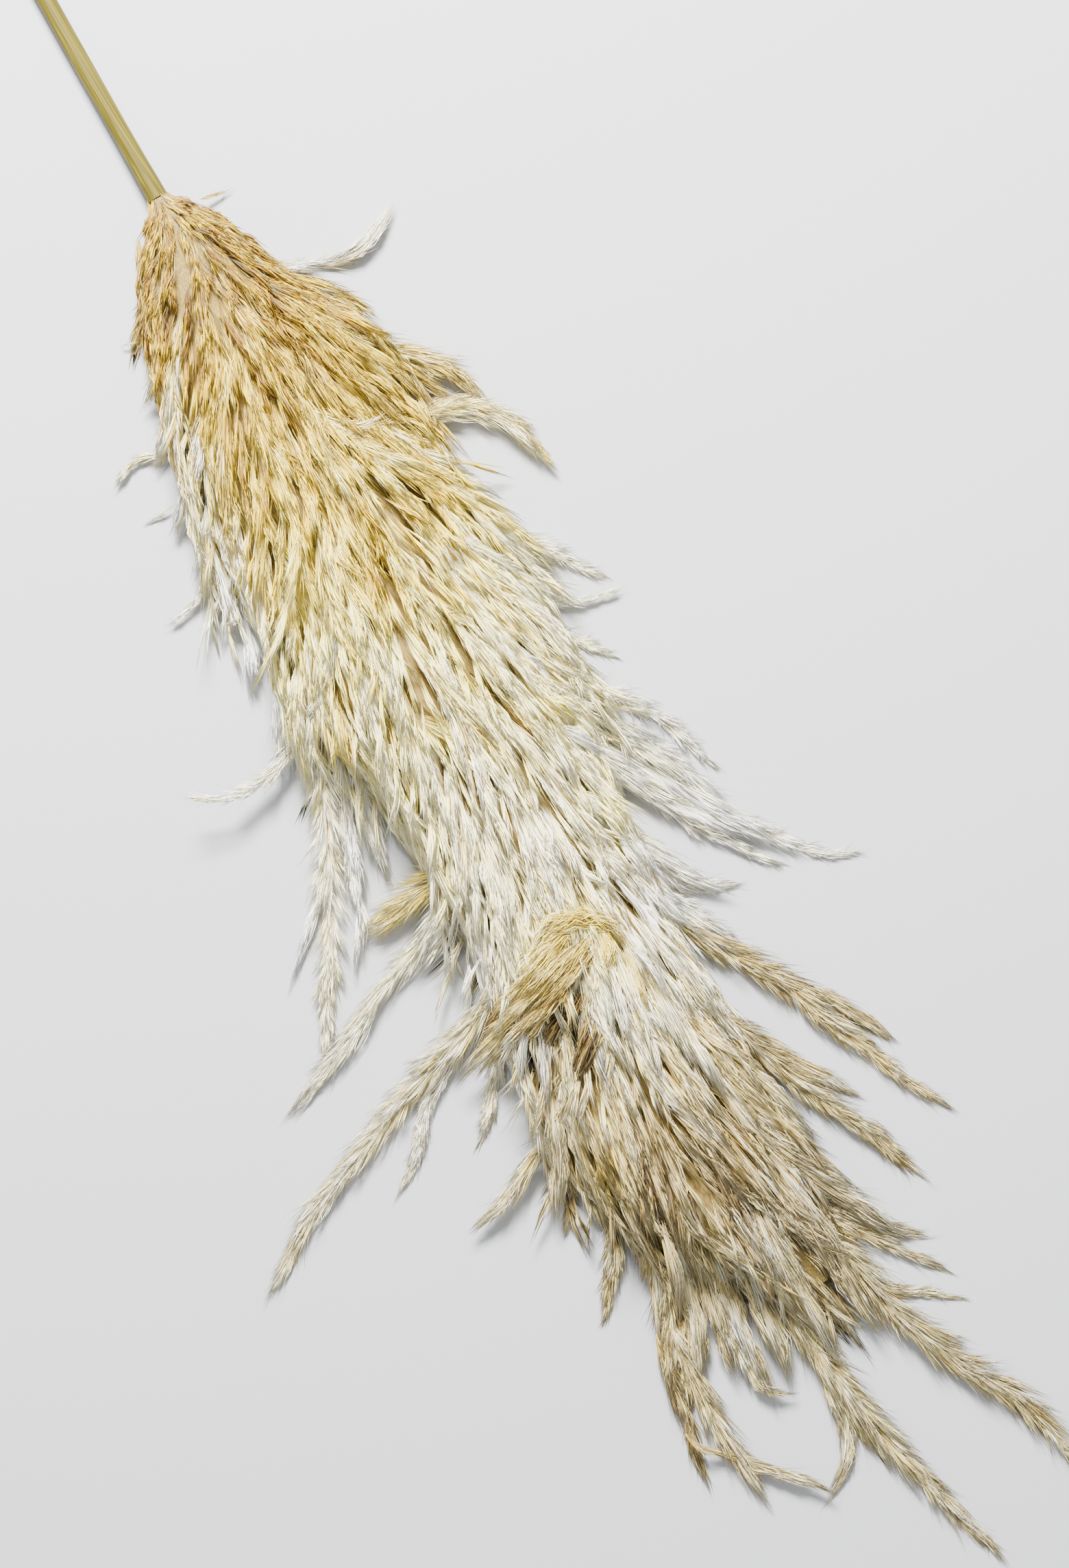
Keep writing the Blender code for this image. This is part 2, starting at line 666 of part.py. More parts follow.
def build_plumelets(material, body_cutter):
    cutters = [body_cutter]
    for name, width, root_height, tip_lift, pixels in PLUMELETS:
        piece = build_plumelet(name, width, root_height, tip_lift, pixels, material)
        carve(piece, cutters)
        cutters.append(inflated_copy(piece, material))
    for cutter in cutters:
        bpy.data.objects.remove(cutter, do_unlink=True)


def main():
    for item in list(bpy.data.objects):
        bpy.data.objects.remove(item, do_unlink=True)
    straw = new_material("straw_stem", STEM_COLOUR, 0.45)
    plume = new_material("plume_hair", PLUME_COLOUR, 0.85)
    plumelet = new_material("plumelet_hair", PLUMELET_COLOUR, 0.85)
    build_stem(straw)
    floor = floor_cutter(plume)
    build_body("plume_body", plume, floor)
    body_cutter = build_body("plume_body_cutter", plume, floor, grow=GAP)
    mark_cutter(body_cutter)
    bpy.data.objects.remove(floor, do_unlink=True)
    build_plumelets(plumelet, body_cutter)


main()
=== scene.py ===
"""The looks of a cut pampas grass stem that lies on a pale surface, seen from above."""
import math

import bpy
import numpy as np
from mathutils import Matrix, Vector
from mathutils.bvhtree import BVHTree


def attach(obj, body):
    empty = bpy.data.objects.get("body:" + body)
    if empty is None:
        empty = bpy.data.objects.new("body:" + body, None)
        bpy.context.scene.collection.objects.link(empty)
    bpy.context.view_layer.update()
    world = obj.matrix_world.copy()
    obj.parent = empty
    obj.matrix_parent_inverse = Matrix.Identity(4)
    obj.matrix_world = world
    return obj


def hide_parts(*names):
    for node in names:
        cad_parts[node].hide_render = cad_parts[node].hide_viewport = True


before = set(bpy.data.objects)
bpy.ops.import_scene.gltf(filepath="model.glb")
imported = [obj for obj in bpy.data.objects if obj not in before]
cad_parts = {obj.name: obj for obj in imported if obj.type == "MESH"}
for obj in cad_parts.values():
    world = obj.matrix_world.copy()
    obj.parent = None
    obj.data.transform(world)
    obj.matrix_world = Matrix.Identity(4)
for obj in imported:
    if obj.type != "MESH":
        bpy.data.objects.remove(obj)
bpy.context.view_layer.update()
rng = np.random.default_rng(20)

# Sizes, in metres, and the studio's light
METRES_PER_PIXEL = 0.00027
CAMERA_HEIGHT = 1.5
SENSOR_HEIGHT = 36.0
FLOOR_CLEARANCE = 0.0004
FLOOR_REACH = 12.0
KEY_SIZE = 0.45
KEY_HEIGHT = 1.15
KEY_POWER = 176.0
KEY_COLOUR = (1.0, 0.985, 0.96)
SKY_COLOUR = (0.93, 0.96, 1.0, 1.0)
STEM_BASE_HEIGHT = 0.0068
# the branches run a little lower than the solid's upper face, so that the hair's tips reach it
BRANCH_SINK = 0.13
BRANCH_SINK_FROM = (0.012, 0.080)
CORE_HEIGHT = 0.84
CORE_WIDTH = 0.86
CORE_CLEARANCE = 0.0012
# at its edge the dense middle is low, and it falls a little further beyond
EDGE_HEIGHT = 0.0065
EDGE_SHARE = 0.6
EDGE_FALL = 0.25
LOWEST_FALL = 0.003

# Hairs, and the clumps that they grow in
HAIR_RADIUS = 0.00020
HAIR_LENGTH = (0.0200, 0.0310)
# towards the plume's end the hair gets longer, and lies closer to its branch
LONG_HAIR_FROM = (0.15, 0.33)
LONG_HAIR = 0.45
CLOSE_HAIR = 0.42
NARROW_LOCKS = 0.22
CLUMP_HALF_WIDTH = (0.0008, 0.0021)
CLUMP_ROOT = 0.5
CLUMP_TIP = 0.85
CLUMP_HAIRS = 12
# how far out in its lock a clump sits, and how far it stands out by the branch and half way
CLUMP_SHARE = (0.25, 1.0)
CLUMP_OUT = (0.12, 0.60)
# where a clump's hairs begin and end along it, how much they bend, and how their thickness varies
HAIR_BEGIN = (0.0, 0.42)
HAIR_FINISH = (0.62, 1.22)
CLUMP_BEND = 0.035
CLUMP_RISE = 0.05
CLUMP_FLATNESS = 0.6
HAIR_THICKNESS = (0.7, 1.3)
STRAY_SHARE = 0.10
STRAY_REACH = 0.0028
TIP_SPREAD = 0.0005
LONGEST_HAIR = 1.15
# by the culm the hair is short
SHORT_HAIR = 0.50
SHORT_HAIR_TO = 0.060

# Locks, each a thin branch with clumps all along it
LOCK_COUNT = 295
LOCK_STEPS = 12
LOCK_TRIALS = 5
LOCK_LENGTH = (0.055, 0.095)
LOCK_HALF_WIDTH = (0.0036, 0.0060)
LOCK_LIFT = (0.0006, 0.0032)
LOCK_FLATNESS = 0.55
LOCK_OVERHANG = (0.001, 0.011)
LOCK_CLUMPS = 18
LOCK_START = 0.004
LOCK_TURN = 0.09
LOCK_SINK = 0.0010
# how near to the plume a lock stays on it, and how it falls once it has left it
KEPT_GAP = 0.006
FREE_GAP = 0.0015
FREE_SHARE = 0.5
FREE_DROP = 0.0006
FREE_HEIGHT = 0.004
FREE_LOWEST = 0.003
# the locks round the culm's end are shorter and narrower
COLLAR_LOCKS = 34
COLLAR_RADIUS = 0.0043
COLLAR_START = (-0.0045, -0.0005)
COLLAR_TURN = 0.12
COLLAR_LENGTH = 0.8
COLLAR_WIDTH = 0.55
BODY_TURNS = (-0.4, 3.54)
BODY_FLARE = 0.95
BODY_PARTS = ("base", "upper", "middle", "lower", "end")
# how a lock's tone and gold differ from those of the place where it lies
LOCK_TONE = 0.04
LOCK_GOLD = 0.12
# which faces get little hair or none: the pressed underside, and the end face at the culm
UNDERSIDE = -0.6
UNDERSIDE_SHARE = 0.05
END_FACE = -0.45
END_FACE_TURN = -0.7

# The underfur, darker with painted shade as it lies under the locks, and the dark stalks that show
# between the clumps, partly painted shade
UNDERFUR_CLUMPS = 2050
UNDERFUR_TRIALS = 3
UNDERFUR_RADIUS = 0.00030
UNDERFUR_SHADE = 0.08
UNDERFUR_GOLD = 0.28
UNDERFUR_TURN = 0.15
UNDERFUR_SINK = 0.0012
UNDERFUR_LIFT = 0.0010
UNDERFUR_RISE = (0.0002, 0.0022)
UNDERFUR_GAP = 0.005
STALKS = 12
STALK_LENGTH = (0.010, 0.026)
STALK_OUT = (0.60, 0.85, 0.95)
STALK_TONE = (0.12, 0.42)
STALK_THICKNESS = (0.9, 1.5)

# Loose locks; clumps for each square metre of a lock's or a plumelet's outline
LOOSE_DENSITY = 53000.0
LOOSE_TURNS = (-0.6, 3.74)
LOOSE_GOLD = 0.7
LOOSE_EDGE = 0.02
OUTLINE_MARGIN = 0.003
# where the end of the plume starts to fan out, and how far past the dense middle it goes
FAN_REACH = (0.38, 0.46)
FAN_OVERHANG = 0.012

# Plumelets
PLUMELET_STEPS = 24
PLUMELET_TURNS = (-1.2, 4.3)
PLUMELET_FLARE = 1.45
# a plumelet's hair is shorter and stands out more, so that its outline is brushy
PLUMELET_HAIR_LENGTH = (0.0135, 0.0225)
PLUMELET_LONG_HAIR = 0.30
PLUMELET_CLOSE_HAIR = 0.12
PLUMELET_HAIRS = 10
PLUMELET_THICKNESS = 0.95
PLUMELET_DENSITY = 98000.0
BRANCH_RADIUS = 0.00045
THINNEST = 0.0008
SPREAD_MARGIN = 0.0003
# the branch runs back over the plume from where the plumelet parts from it
BACK_STEPS = 5
BACK_STEP = 0.008
FORK_STEP = 0.0012
BACK_HALF_WIDTH = 0.0045
BACK_WIDTHS = (0.35, 0.9)
BACK_LIFT = 0.0015
FIRST_LIFT = 0.001
HIDDEN_DEPTH = 0.012
HIDDEN_BACK = 0.010
FLATNESS = 0.62
ROOT_TUCK = 0.016
HIDDEN_TUCK = 0.003

# Pits and golden patches; a pit, where shade is painted, is longer along the hair than across it
PIT_STRETCH = 2.8
PATCH_SHADE = 0.28
PIT_SHADE = 0.20
PIT_SHADE_BELOW = 0.16
PIT_THINNING = 0.15
PIT_GOLD = 0.45

# How light and golden a hair is: at its root, golden and darker with painted shade, at its tip,
# paler and lighter with painted light, and deep in its lock, darker with painted shade
ROOT_SHADE = 0.13
ROOT_GOLD = 0.35
TIP_LIGHT = 0.04
TIP_PALE = 0.10
DEPTH_SHADE = 0.075
HAIR_TONE = 0.060
STREAKS = 4
STREAK_TONE = 0.085
DARK_SHARE = 0.07
DARK_SHADE = 0.12
CLUMP_TONE = 0.065
CLUMP_GOLD = 0.14
# the plume's pale edges
EDGE_TONE = 0.06
EDGE_PALE = 0.7
EDGE_COOL = 0.25
# the golden part's left side is pale too, between these distances from the base
SIDE_FROM = (0.035, 0.065)
SIDE_TO = (0.13, 0.19)
SIDE_TONE = 0.20
SIDE_PALE = 0.75
SIDE_COOL = 0.25
# tone, gold and cool along the plume: distances from its base, and the value at each; the low tone
# towards the plume's end is partly its greyer colour and partly painted shade where the light falls
# off
ZONE_TONE = ((0.0, 0.04, 0.12, 0.20, 0.33, 0.41, 0.50, 0.62),
             (0.28, 0.36, 0.63, 1.02, 1.06, 0.46, 0.55, 0.51))
ZONE_GOLD = ((0.0, 0.05, 0.12, 0.20, 0.28, 0.45), (1.0, 1.0, 0.92, 0.62, 0.32, -0.06))
ZONE_COOL = ((0.10, 0.28, 0.36, 0.45), (0.0, 0.0, 0.35, 1.0))
ZONE_WAVE = 0.04
ZONE_GOLD_WAVE = 0.16

# Places in the picture, in its pixels, counted right and down
PICTURE_SIZE = (1560, 2289)
ORIGIN_PIXEL = (377.7, 842.9)
PLUME_BASE_PIXEL = (234.0, 295.0)
PLUME_TIP_PIXEL = (1452.0, 2268.0)

# The dense middle of the plume: distance from its base, +Y edge, -Y edge, crown
BODY_STATIONS = np.array((
    (0.0000, 0.0042, -0.0042, 0.0110),
    (0.0048, 0.0062, -0.0062, 0.0130),
    (0.0100, 0.0125, -0.0125, 0.0165),
    (0.0165, 0.0160, -0.0200, 0.0210),
    (0.0300, 0.0195, -0.0240, 0.0285),
    (0.0520, 0.0260, -0.0370, 0.0365),
    (0.0820, 0.0430, -0.0440, 0.0440),
    (0.1220, 0.0400, -0.0540, 0.0485),
    (0.1650, 0.0430, -0.0540, 0.0510),
    (0.2050, 0.0450, -0.0640, 0.0520),
    (0.2400, 0.0450, -0.0500, 0.0515),
    (0.2800, 0.0330, -0.0470, 0.0500),
    (0.3200, 0.0220, -0.0500, 0.0475),
    (0.3700, 0.0190, -0.0600, 0.0440),
    (0.4200, 0.0170, -0.0620, 0.0385),
    (0.4550, 0.0160, -0.0450, 0.0310),
    (0.4800, 0.0120, -0.0280, 0.0225),
    (0.4980, 0.0040, -0.0120, 0.0130),
))

# Which way the hair runs there, in degrees from straight down in the picture, positive to the
# right: distance from the plume's base, at the -Y edge, in the middle, at the +Y edge
FLOW_STATIONS = np.array((
    (0.000, -8, 24, 58),
    (0.050, -11, 10, 58),
    (0.100, -10, 25, 60),
    (0.150, -2, 22, 60),
    (0.200, -5, 18, 55),
    (0.250, -3, 28, 54),
    (0.300, -20, 22, 48),
    (0.350, -14, 8, 42),
    (0.400, -5, 28, 50),
    (0.450, 15, 35, 50),
    (0.520, 22, 38, 50),
))

# the hair's way wavers, and where the surface stands across it, bends only a little to follow
FLOW_WAVE = 0.16
FLOW_ACROSS = 0.6
FLOW_BEND = 0.3

# The free side branches: width, height of the root and lift of the tip in millimetres, and the
# route in the picture
RIGHT_PLUMELETS = (
    (5.5, 12, 0, ((405, 395), (440, 390), (480, 385), (520, 372), (550, 345), (567, 312))),
    (11, 14, 0, ((440, 450), (500, 500), (560, 520), (640, 535), (695, 575))),
    (8.5, 14, 4, ((570, 625), (640, 600), (700, 595), (740, 610), (780, 650), (808, 684))),
    (9.2, 12, 0, ((690, 742), (750, 785), (800, 805), (850, 830), (884, 844))),
    (4.5, 10, 3, ((770, 882), (800, 880), (845, 880), (900, 864))),
    (7.2, 10, 0, ((770, 898), (790, 910), (840, 935), (892, 958))),
    (9.2, 12, 0, ((830, 988), (880, 1010), (930, 1030), (970, 1055), (1010, 1090), (1042, 1118))),
    (9.6, 12, 0,
     ((900, 1055), (940, 1080), (980, 1110), (1020, 1150), (1060, 1185), (1110, 1210),
      (1160, 1235), (1200, 1245), (1250, 1245))),
    (9.2, 9, 0,
     ((860, 1095), (950, 1150), (1010, 1200), (1060, 1225), (1100, 1248), (1138, 1263))),
    (10.5, 12, 0, ((880, 1185), (940, 1240), (980, 1280), (1020, 1292), (1074, 1291))),
    (10.5, 10, 0, ((900, 1225), (950, 1285), (1000, 1325), (1074, 1372))),
    (13, 12, 0,
     ((960, 1330), (1000, 1350), (1080, 1400), (1150, 1440), (1200, 1485), (1260, 1525),
      (1300, 1560), (1340, 1590), (1382, 1614))),
    (6.6, 8, 0, ((1150, 1430), (1200, 1450), (1240, 1478), (1294, 1512))),
    (13.5, 12, 0,
     ((1020, 1465), (1070, 1500), (1130, 1550), (1180, 1590), (1220, 1620), (1270, 1650),
      (1310, 1690), (1348, 1718))),
    (6.2, 7, 0, ((1130, 1530), (1170, 1555), (1205, 1575), (1245, 1596))),
    (9.2, 8, 0, ((1140, 1715), (1180, 1740), (1260, 1780), (1348, 1802))),
    (7.2, 8, 0, ((1210, 1775), (1250, 1795), (1300, 1818), (1378, 1852))),
    (4.8, 6, 0, ((1240, 1850), (1280, 1872), (1320, 1885), (1350, 1882), (1398, 1894))),
    (17.5, 14, 0,
     ((1110, 1705), (1150, 1750), (1200, 1800), (1250, 1850), (1300, 1910), (1350, 1950),
      (1400, 1990), (1450, 2015), (1500, 2050), (1545, 2100), (1580, 2145), (1615, 2195))),
    (6.6, 9, 0, ((1140, 1800), (1175, 1850), (1212, 1900), (1244, 1946))),
)
LEFT_PLUMELETS = (
    (4, 12, 3, ((262, 660), (245, 665), (210, 668), (190, 680), (172, 707))),
    (4.5, 10, 3, ((316, 760), (310, 790), (300, 850), (285, 885), (253, 909))),
    (6.6, 14, 20, ((450, 1060), (430, 1090), (395, 1135), (350, 1160), (318, 1166), (284, 1165))),
    (16, 16, 0,
     ((475, 1060), (470, 1110), (478, 1200), (482, 1300), (482, 1400), (474, 1480), (475, 1548))),
    (16.5, 20, 0, ((682, 1258), (650, 1278), (600, 1310), (570, 1335), (535, 1360))),
    (12, 12, 0,
     ((690, 1265), (650, 1320), (600, 1400), (560, 1440), (530, 1490), (500, 1530), (480, 1560),
      (450, 1590), (426, 1622))),
    (14, 14, 0,
     ((735, 1430), (700, 1480), (650, 1540), (600, 1590), (560, 1640), (520, 1690), (480, 1740),
      (450, 1780), (430, 1820), (397, 1885))),
    (7.2, 9, 0, ((690, 1500), (660, 1550), (622, 1610), (612, 1660), (605, 1700), (584, 1740))),
    (8.5, 10, 0, ((735, 1490), (728, 1540), (720, 1580), (712, 1630), (699, 1668))),
    (11.5, 20, 6,
     ((862, 1460), (850, 1510), (840, 1560), (820, 1620), (790, 1670), (760, 1710), (740, 1750),
      (697, 1788))),
    (7, 8, 0, ((812, 1690), (828, 1722), (834, 1752), (826, 1792))),
)
BOTTOM_PLUMELETS = (
    (16.5, 12, 0,
     ((1030, 1660), (1060, 1750), (1110, 1850), (1180, 1950), (1230, 2020), (1290, 2095),
      (1350, 2160), (1390, 2205), (1430, 2240), (1458, 2271))),
    (7.8, 6, 0,
     ((1180, 1965), (1205, 2010), (1228, 2055), (1240, 2105), (1235, 2150), (1213, 2183))),
    (6, 6, 0, ((1225, 2035), (1250, 2075), (1270, 2105), (1292, 2134))),
    (4, 8, 6, ((1068, 2125), (1090, 2132), (1120, 2145), (1170, 2155), (1206, 2172))),
    (19.5, 14, 0,
     ((930, 1770), (960, 1830), (980, 1900), (990, 1960), (1000, 2000), (1002, 2060))),
    (7.5, 7, 0, ((985, 2020), (1000, 2060), (1012, 2110), (1032, 2164))),
    (10.5, 8, 2, ((1010, 2005), (1035, 2055), (1075, 2120), (1118, 2189))),
    (9.2, 9, 4, ((1030, 1850), (1055, 1910), (1080, 1970), (1110, 2025), (1148, 2031))),
    (10.5, 10, 0, ((885, 1720), (895, 1780), (897, 1830), (888, 1890), (880, 1934))),
)
PLUMELETS = {"right": RIGHT_PLUMELETS, "left": LEFT_PLUMELETS, "bottom": BOTTOM_PLUMELETS}
# Those that grow out of another plumelet
FORKED = ("plumelet_bottom_02", "plumelet_bottom_03", "plumelet_bottom_04", "plumelet_bottom_06",
          "plumelet_bottom_07", "plumelet_right_01", "plumelet_right_13", "plumelet_right_15")
# Those whose roots lie hidden under the plume's own hair
HIDDEN_ROOTS = ("plumelet_left_05", "plumelet_left_06", "plumelet_left_10")
OVER_THE_BODY = ("plumelet_left_03", "plumelet_left_05", "plumelet_left_10", "plumelet_right_03")

# A plumelet's own tone, gold and cool, where it differs from the rest
PLUMELET_LOOK = {
    "plumelet_left_05": (-0.40, 0.46, 0.0),
    "plumelet_right_01": (0.25, -0.60, 0.40),
    "plumelet_left_04": (-0.04, 0.12, -0.20),
    "plumelet_left_06": (-0.05, 0.10, -0.10),
    "plumelet_left_07": (-0.06, 0.10, -0.10),
    "plumelet_right_03": (-0.06, 0.20, -0.20),
    "plumelet_bottom_06": (-0.25, 0.0, 0.5),
    "plumelet_bottom_05": (-0.05, 0.2, 0.0),
}

# Locks that lie on the plume or fill its end: width and lift in millimetres, the route in the
# picture, then tone, gold and cool
LOOSE_LOCKS = (
    # the golden crest and what hangs from it
    (12, 8, ((918, 1396), (898, 1356), (858, 1330), (818, 1336), (784, 1372)),
     (-0.32, 0.30, 0.0)),
    (11, 7, ((852, 1320), (876, 1340), (884, 1374), (876, 1420)), (-0.30, 0.30, 0.0)),
    (11, 6, ((850, 1322), (815, 1330), (792, 1352), (780, 1385)), (-0.26, 0.32, -0.2)),
    (10, 7, ((825, 1330), (798, 1362), (772, 1398), (742, 1440)), (-0.28, 0.32, -0.1)),
    (11, 10, ((850, 1328), (818, 1370), (782, 1412), (745, 1455), (712, 1500)),
     (-0.38, 0.26, 0.0)),
    (13, 12.5, ((872, 1332), (845, 1378), (806, 1420), (762, 1470), (722, 1515), (688, 1558)),
     (-0.38, 0.20, 0.1)),
    (11, 12, ((885, 1342), (858, 1382), (824, 1422), (786, 1468), (748, 1512), (708, 1556)),
     (-0.42, 0.20, 0.1)),
    (9, 4, ((895, 1350), (880, 1390), (866, 1432), (856, 1480)), (-0.24, 0.24, 0.0)),
    (10, 4, ((905, 1350), (910, 1395), (922, 1440), (938, 1480)), (-0.22, 0.26, 0.0)),
    # these three dark locks stand for the valley under the crest's tail: their low tone is painted
    # shade
    (11, 3.5, ((868, 1392), (840, 1445), (808, 1495), (785, 1545)), (-0.60, 0.20, 0.1)),
    (11, 3.5, ((850, 1380), (815, 1430), (775, 1490), (752, 1540)), (-0.56, 0.20, 0.1)),
    (10, 3.5, ((890, 1420), (872, 1480), (850, 1540), (835, 1590)), (-0.50, 0.18, 0.1)),
    # golden locks elsewhere on the plume
    (9, 3.5, ((385, 425), (430, 452), (475, 478)), (-0.04, 0.60, 0.0)),
    (10, 4, ((850, 1125), (885, 1175), (915, 1235), (930, 1270)), (-0.10, 0.60, 0.1)),
    (8, 3, ((600, 1046), (640, 1060), (680, 1085), (712, 1118)), (-0.12, 0.45, 0.0)),
    (8, 3.5, ((770, 1010), (800, 1030), (830, 1048)), (-0.08, 0.60, 0.0)),
    (8, 3, ((885, 1645), (882, 1680), (878, 1715)), (-0.04, 0.60, 0.0)),
    (10, 3, ((470, 640), (530, 665), (590, 690), (650, 720), (728, 757), (787, 800)),
     (0.00, 0.25, 0.1)),
    (9, 3, ((500, 1075), (545, 1090), (590, 1115)), (-0.05, 0.35, 0.0)),
    # the upper right fringe
    (11, 2, ((400, 400), (450, 420), (500, 440), (552, 474)), (-0.04, 0.30, 0.1)),
    (12, 2, ((430, 470), (490, 500), (550, 530), (600, 550), (660, 590)), (0.04, -0.10, 0.1)),
    (8, 2, ((560, 630), (619, 660), (683, 692)), (0.04, -0.10, 0.3)),
    (8, 2, ((590, 660), (650, 690), (719, 724)), (0.04, -0.10, 0.3)),
    (9, 2, ((640, 780), (700, 810), (760, 850), (815, 878)), (0.0, 0.10, 0.2)),
    (13, 2, ((450, 470), (530, 505), (610, 526), (668, 546), (704, 584)), (-0.04, 0.2, 0.0)),
    (12, 2, ((560, 615), (640, 602), (700, 600), (750, 624), (796, 672)), (-0.02, 0.1, 0.1)),
    (14, 1.5, ((740, 975), (840, 1035), (930, 1090), (1005, 1150)), (-0.04, 0.10, 0.0)),
    (14, 1.5, ((780, 1050), (890, 1115), (985, 1175), (1065, 1215)), (-0.02, 0.0, 0.0)),
    (11, 1, ((870, 1075), (960, 1130), (1045, 1190), (1125, 1228)), (-0.02, 0.0, 0.1)),
    (12, 1.5, ((800, 1130), (905, 1210), (985, 1268), (1055, 1298)), (-0.02, 0.05, 0.0)),
    (12, 1.5, ((850, 1225), (935, 1285), (1005, 1340), (1072, 1380)), (-0.02, 0.0, 0.0)),
    # the left fringe
    (7, 3, ((240, 420), (228, 462), (212, 500)), (0.04, -0.10, 0.1)),
    (8, 3, ((246, 490), (236, 540), (218, 586)), (0.04, -0.10, 0.1)),
    (8, 3, ((258, 570), (250, 620), (234, 670)), (0.04, -0.10, 0.1)),
    (8, 3, ((282, 660), (278, 715), (262, 772)), (0.04, -0.10, 0.1)),
    (8, 3, ((308, 740), (306, 795), (290, 846)), (0.04, -0.10, 0.1)),
    (7, 2, ((470, 390), (506, 380), (540, 352), (563, 318)), (0.26, -0.50, 0.3)),
    (9, 1, ((360, 900), (372, 960), (372, 1010)), (0.08, -0.20, 0.3)),
    (11, 1, ((400, 980), (412, 1040), (418, 1100), (412, 1130)), (0.08, -0.20, 0.3)),
    (9, 1, ((500, 1080), (506, 1180), (520, 1290), (527, 1360), (520, 1435)), (0.04, 0.0, 0.1)),
    (3, 1, ((480, 1270), (460, 1330), (446, 1370), (434, 1413)), (-0.05, 0.0, 0.3)),
    (12, 1, ((515, 1090), (535, 1160), (548, 1215), (564, 1272)), (0.04, 0.0, 0.1)),
    # single strays beside the plume
    (0.6, 1, ((283, 299), (305, 290), (330, 282)), (0.12, 0.0, 0.2)),
    (0.6, 1, ((215, 500), (200, 503), (183, 505)), (0.0, 0.0, 0.4)),
    (0.6, 1, ((262, 733), (245, 748), (225, 760)), (-0.10, 0.0, 0.4)),
    # the fanned end
    (12, 2, ((930, 1720), (950, 1800), (962, 1880), (972, 1960), (978, 2030)), (0.0, 0.25, 0.0)),
    (12, 2, ((950, 1720), (985, 1800), (1005, 1880), (1018, 1950), (1022, 2015)),
     (0.04, 0.15, 0.0)),
    (11, 2, ((975, 1730), (1010, 1810), (1035, 1880), (1055, 1945), (1072, 2000)),
     (0.0, 0.05, 0.0)),
    (11, 2.5, ((1000, 1740), (1040, 1830), (1072, 1915), (1100, 1985), (1122, 2030)),
     (0.02, 0.05, 0.0)),
    (11, 3, ((1030, 1720), (1078, 1820), (1110, 1900), (1138, 1975), (1150, 2010)),
     (0.02, 0.10, 0.0)),
    (11, 3, ((1070, 1690), (1122, 1795), (1160, 1865), (1195, 1930), (1215, 1970)),
     (0.02, 0.05, 0.0)),
    (11, 3, ((1110, 1670), (1168, 1755), (1215, 1830), (1252, 1890), (1275, 1930)),
     (0.02, 0.05, 0.0)),
    (11, 2, ((1060, 1600), (1120, 1660), (1190, 1710), (1265, 1745)), (0.0, 0.0, 0.3)),
    (11, 2, ((1090, 1640), (1160, 1700), (1230, 1745), (1300, 1790)), (0.0, 0.0, 0.3)),
    (10, 2, ((1000, 1480), (1060, 1530), (1120, 1590), (1180, 1650)), (0.02, 0.0, 0.2)),
    (10, 2, ((1020, 1560), (1080, 1610), (1150, 1670), (1215, 1725)), (0.02, 0.0, 0.2)),
    (10, 1.5, ((900, 1640), (925, 1720), (940, 1790), (955, 1835)), (-0.06, 0.10, 0.1)),
    # these two dark locks stand for long valleys in the plume's lower end: their low tone is
    # painted shade
    (8, 2.5, ((905, 1600), (932, 1680), (958, 1760), (985, 1835)), (-0.44, 0.15, 0.0)),
    (6, 2.5, ((1010, 1640), (1045, 1710), (1080, 1775), (1110, 1835)), (-0.36, 0.15, 0.0)),
)

# Golden patches: place, radius in pixels, how golden
GOLD_PATCHES = (
    ((437, 457), 34, 0.45),
    ((375, 552), 16, 0.50),
    ((655, 1069), 34, 0.40),
    ((805, 1033), 26, 0.45),
    ((850, 1352), 60, 0.60),
    ((790, 1432), 36, 0.35),
    ((890, 1195), 40, 0.40),
    ((880, 1684), 30, 0.45),
    ((640, 740), 60, 0.25),
    ((620, 700), 40, 0.25),
    ((560, 850), 60, 0.25),
    ((1190, 1850), 60, 0.20),
)

# Pits and valleys between the locks, where shade is painted with a warm brown tint: place, radius
# in pixels, how dark
SHADED_PITS = (
    ((545, 775), 11, 1.0), ((415, 545), 13, 1.0), ((688, 992), 14, 1.0), ((502, 1085), 14, 1.0),
    ((257, 467), 10, 1.0), ((332, 480), 10, 0.9), ((567, 878), 15, 1.0), ((669, 905), 9, 0.9),
    ((728, 1115), 9, 0.6), ((774, 1069), 8, 0.6), ((864, 1540), 14, 0.55), ((824, 1460), 13, 0.6),
    ((724, 1468), 10, 0.8), ((290, 560), 10, 0.8), ((565, 792), 9, 0.8), ((305, 372), 7, 0.8),
    ((912, 1600), 24, 0.45), ((975, 1745), 34, 0.30), ((1068, 1750), 22, 0.12),
    ((822, 1512), 24, 0.45), ((470, 800), 12, 0.6), ((390, 760), 12, 0.6),
    ((360, 640), 11, 0.7), ((450, 900), 12, 0.6),
    ((317, 447), 8, 0.7), ((393, 690), 8, 0.8), ((455, 786), 8, 0.8), ((474, 582), 7, 0.7),
    ((521, 637), 7, 0.6), ((496, 757), 8, 0.8), ((558, 849), 8, 0.7), ((397, 725), 7, 0.7),
    ((434, 907), 7, 0.7), ((274, 500), 8, 0.7),
)

AXIS_TURN = math.atan2(PLUME_TIP_PIXEL[0] - PLUME_BASE_PIXEL[0],
                       PLUME_TIP_PIXEL[1] - PLUME_BASE_PIXEL[1])


def to_frame(pixel, height=0.0):
    """Where a pixel of the picture lies in the frame, at a height above the surface."""
    right = (pixel[0] - ORIGIN_PIXEL[0]) * METRES_PER_PIXEL
    down = (pixel[1] - ORIGIN_PIXEL[1]) * METRES_PER_PIXEL
    along = right * math.sin(AXIS_TURN) + down * math.cos(AXIS_TURN)
    aside = right * math.cos(AXIS_TURN) - down * math.sin(AXIS_TURN)
    return np.array((along, aside, height))


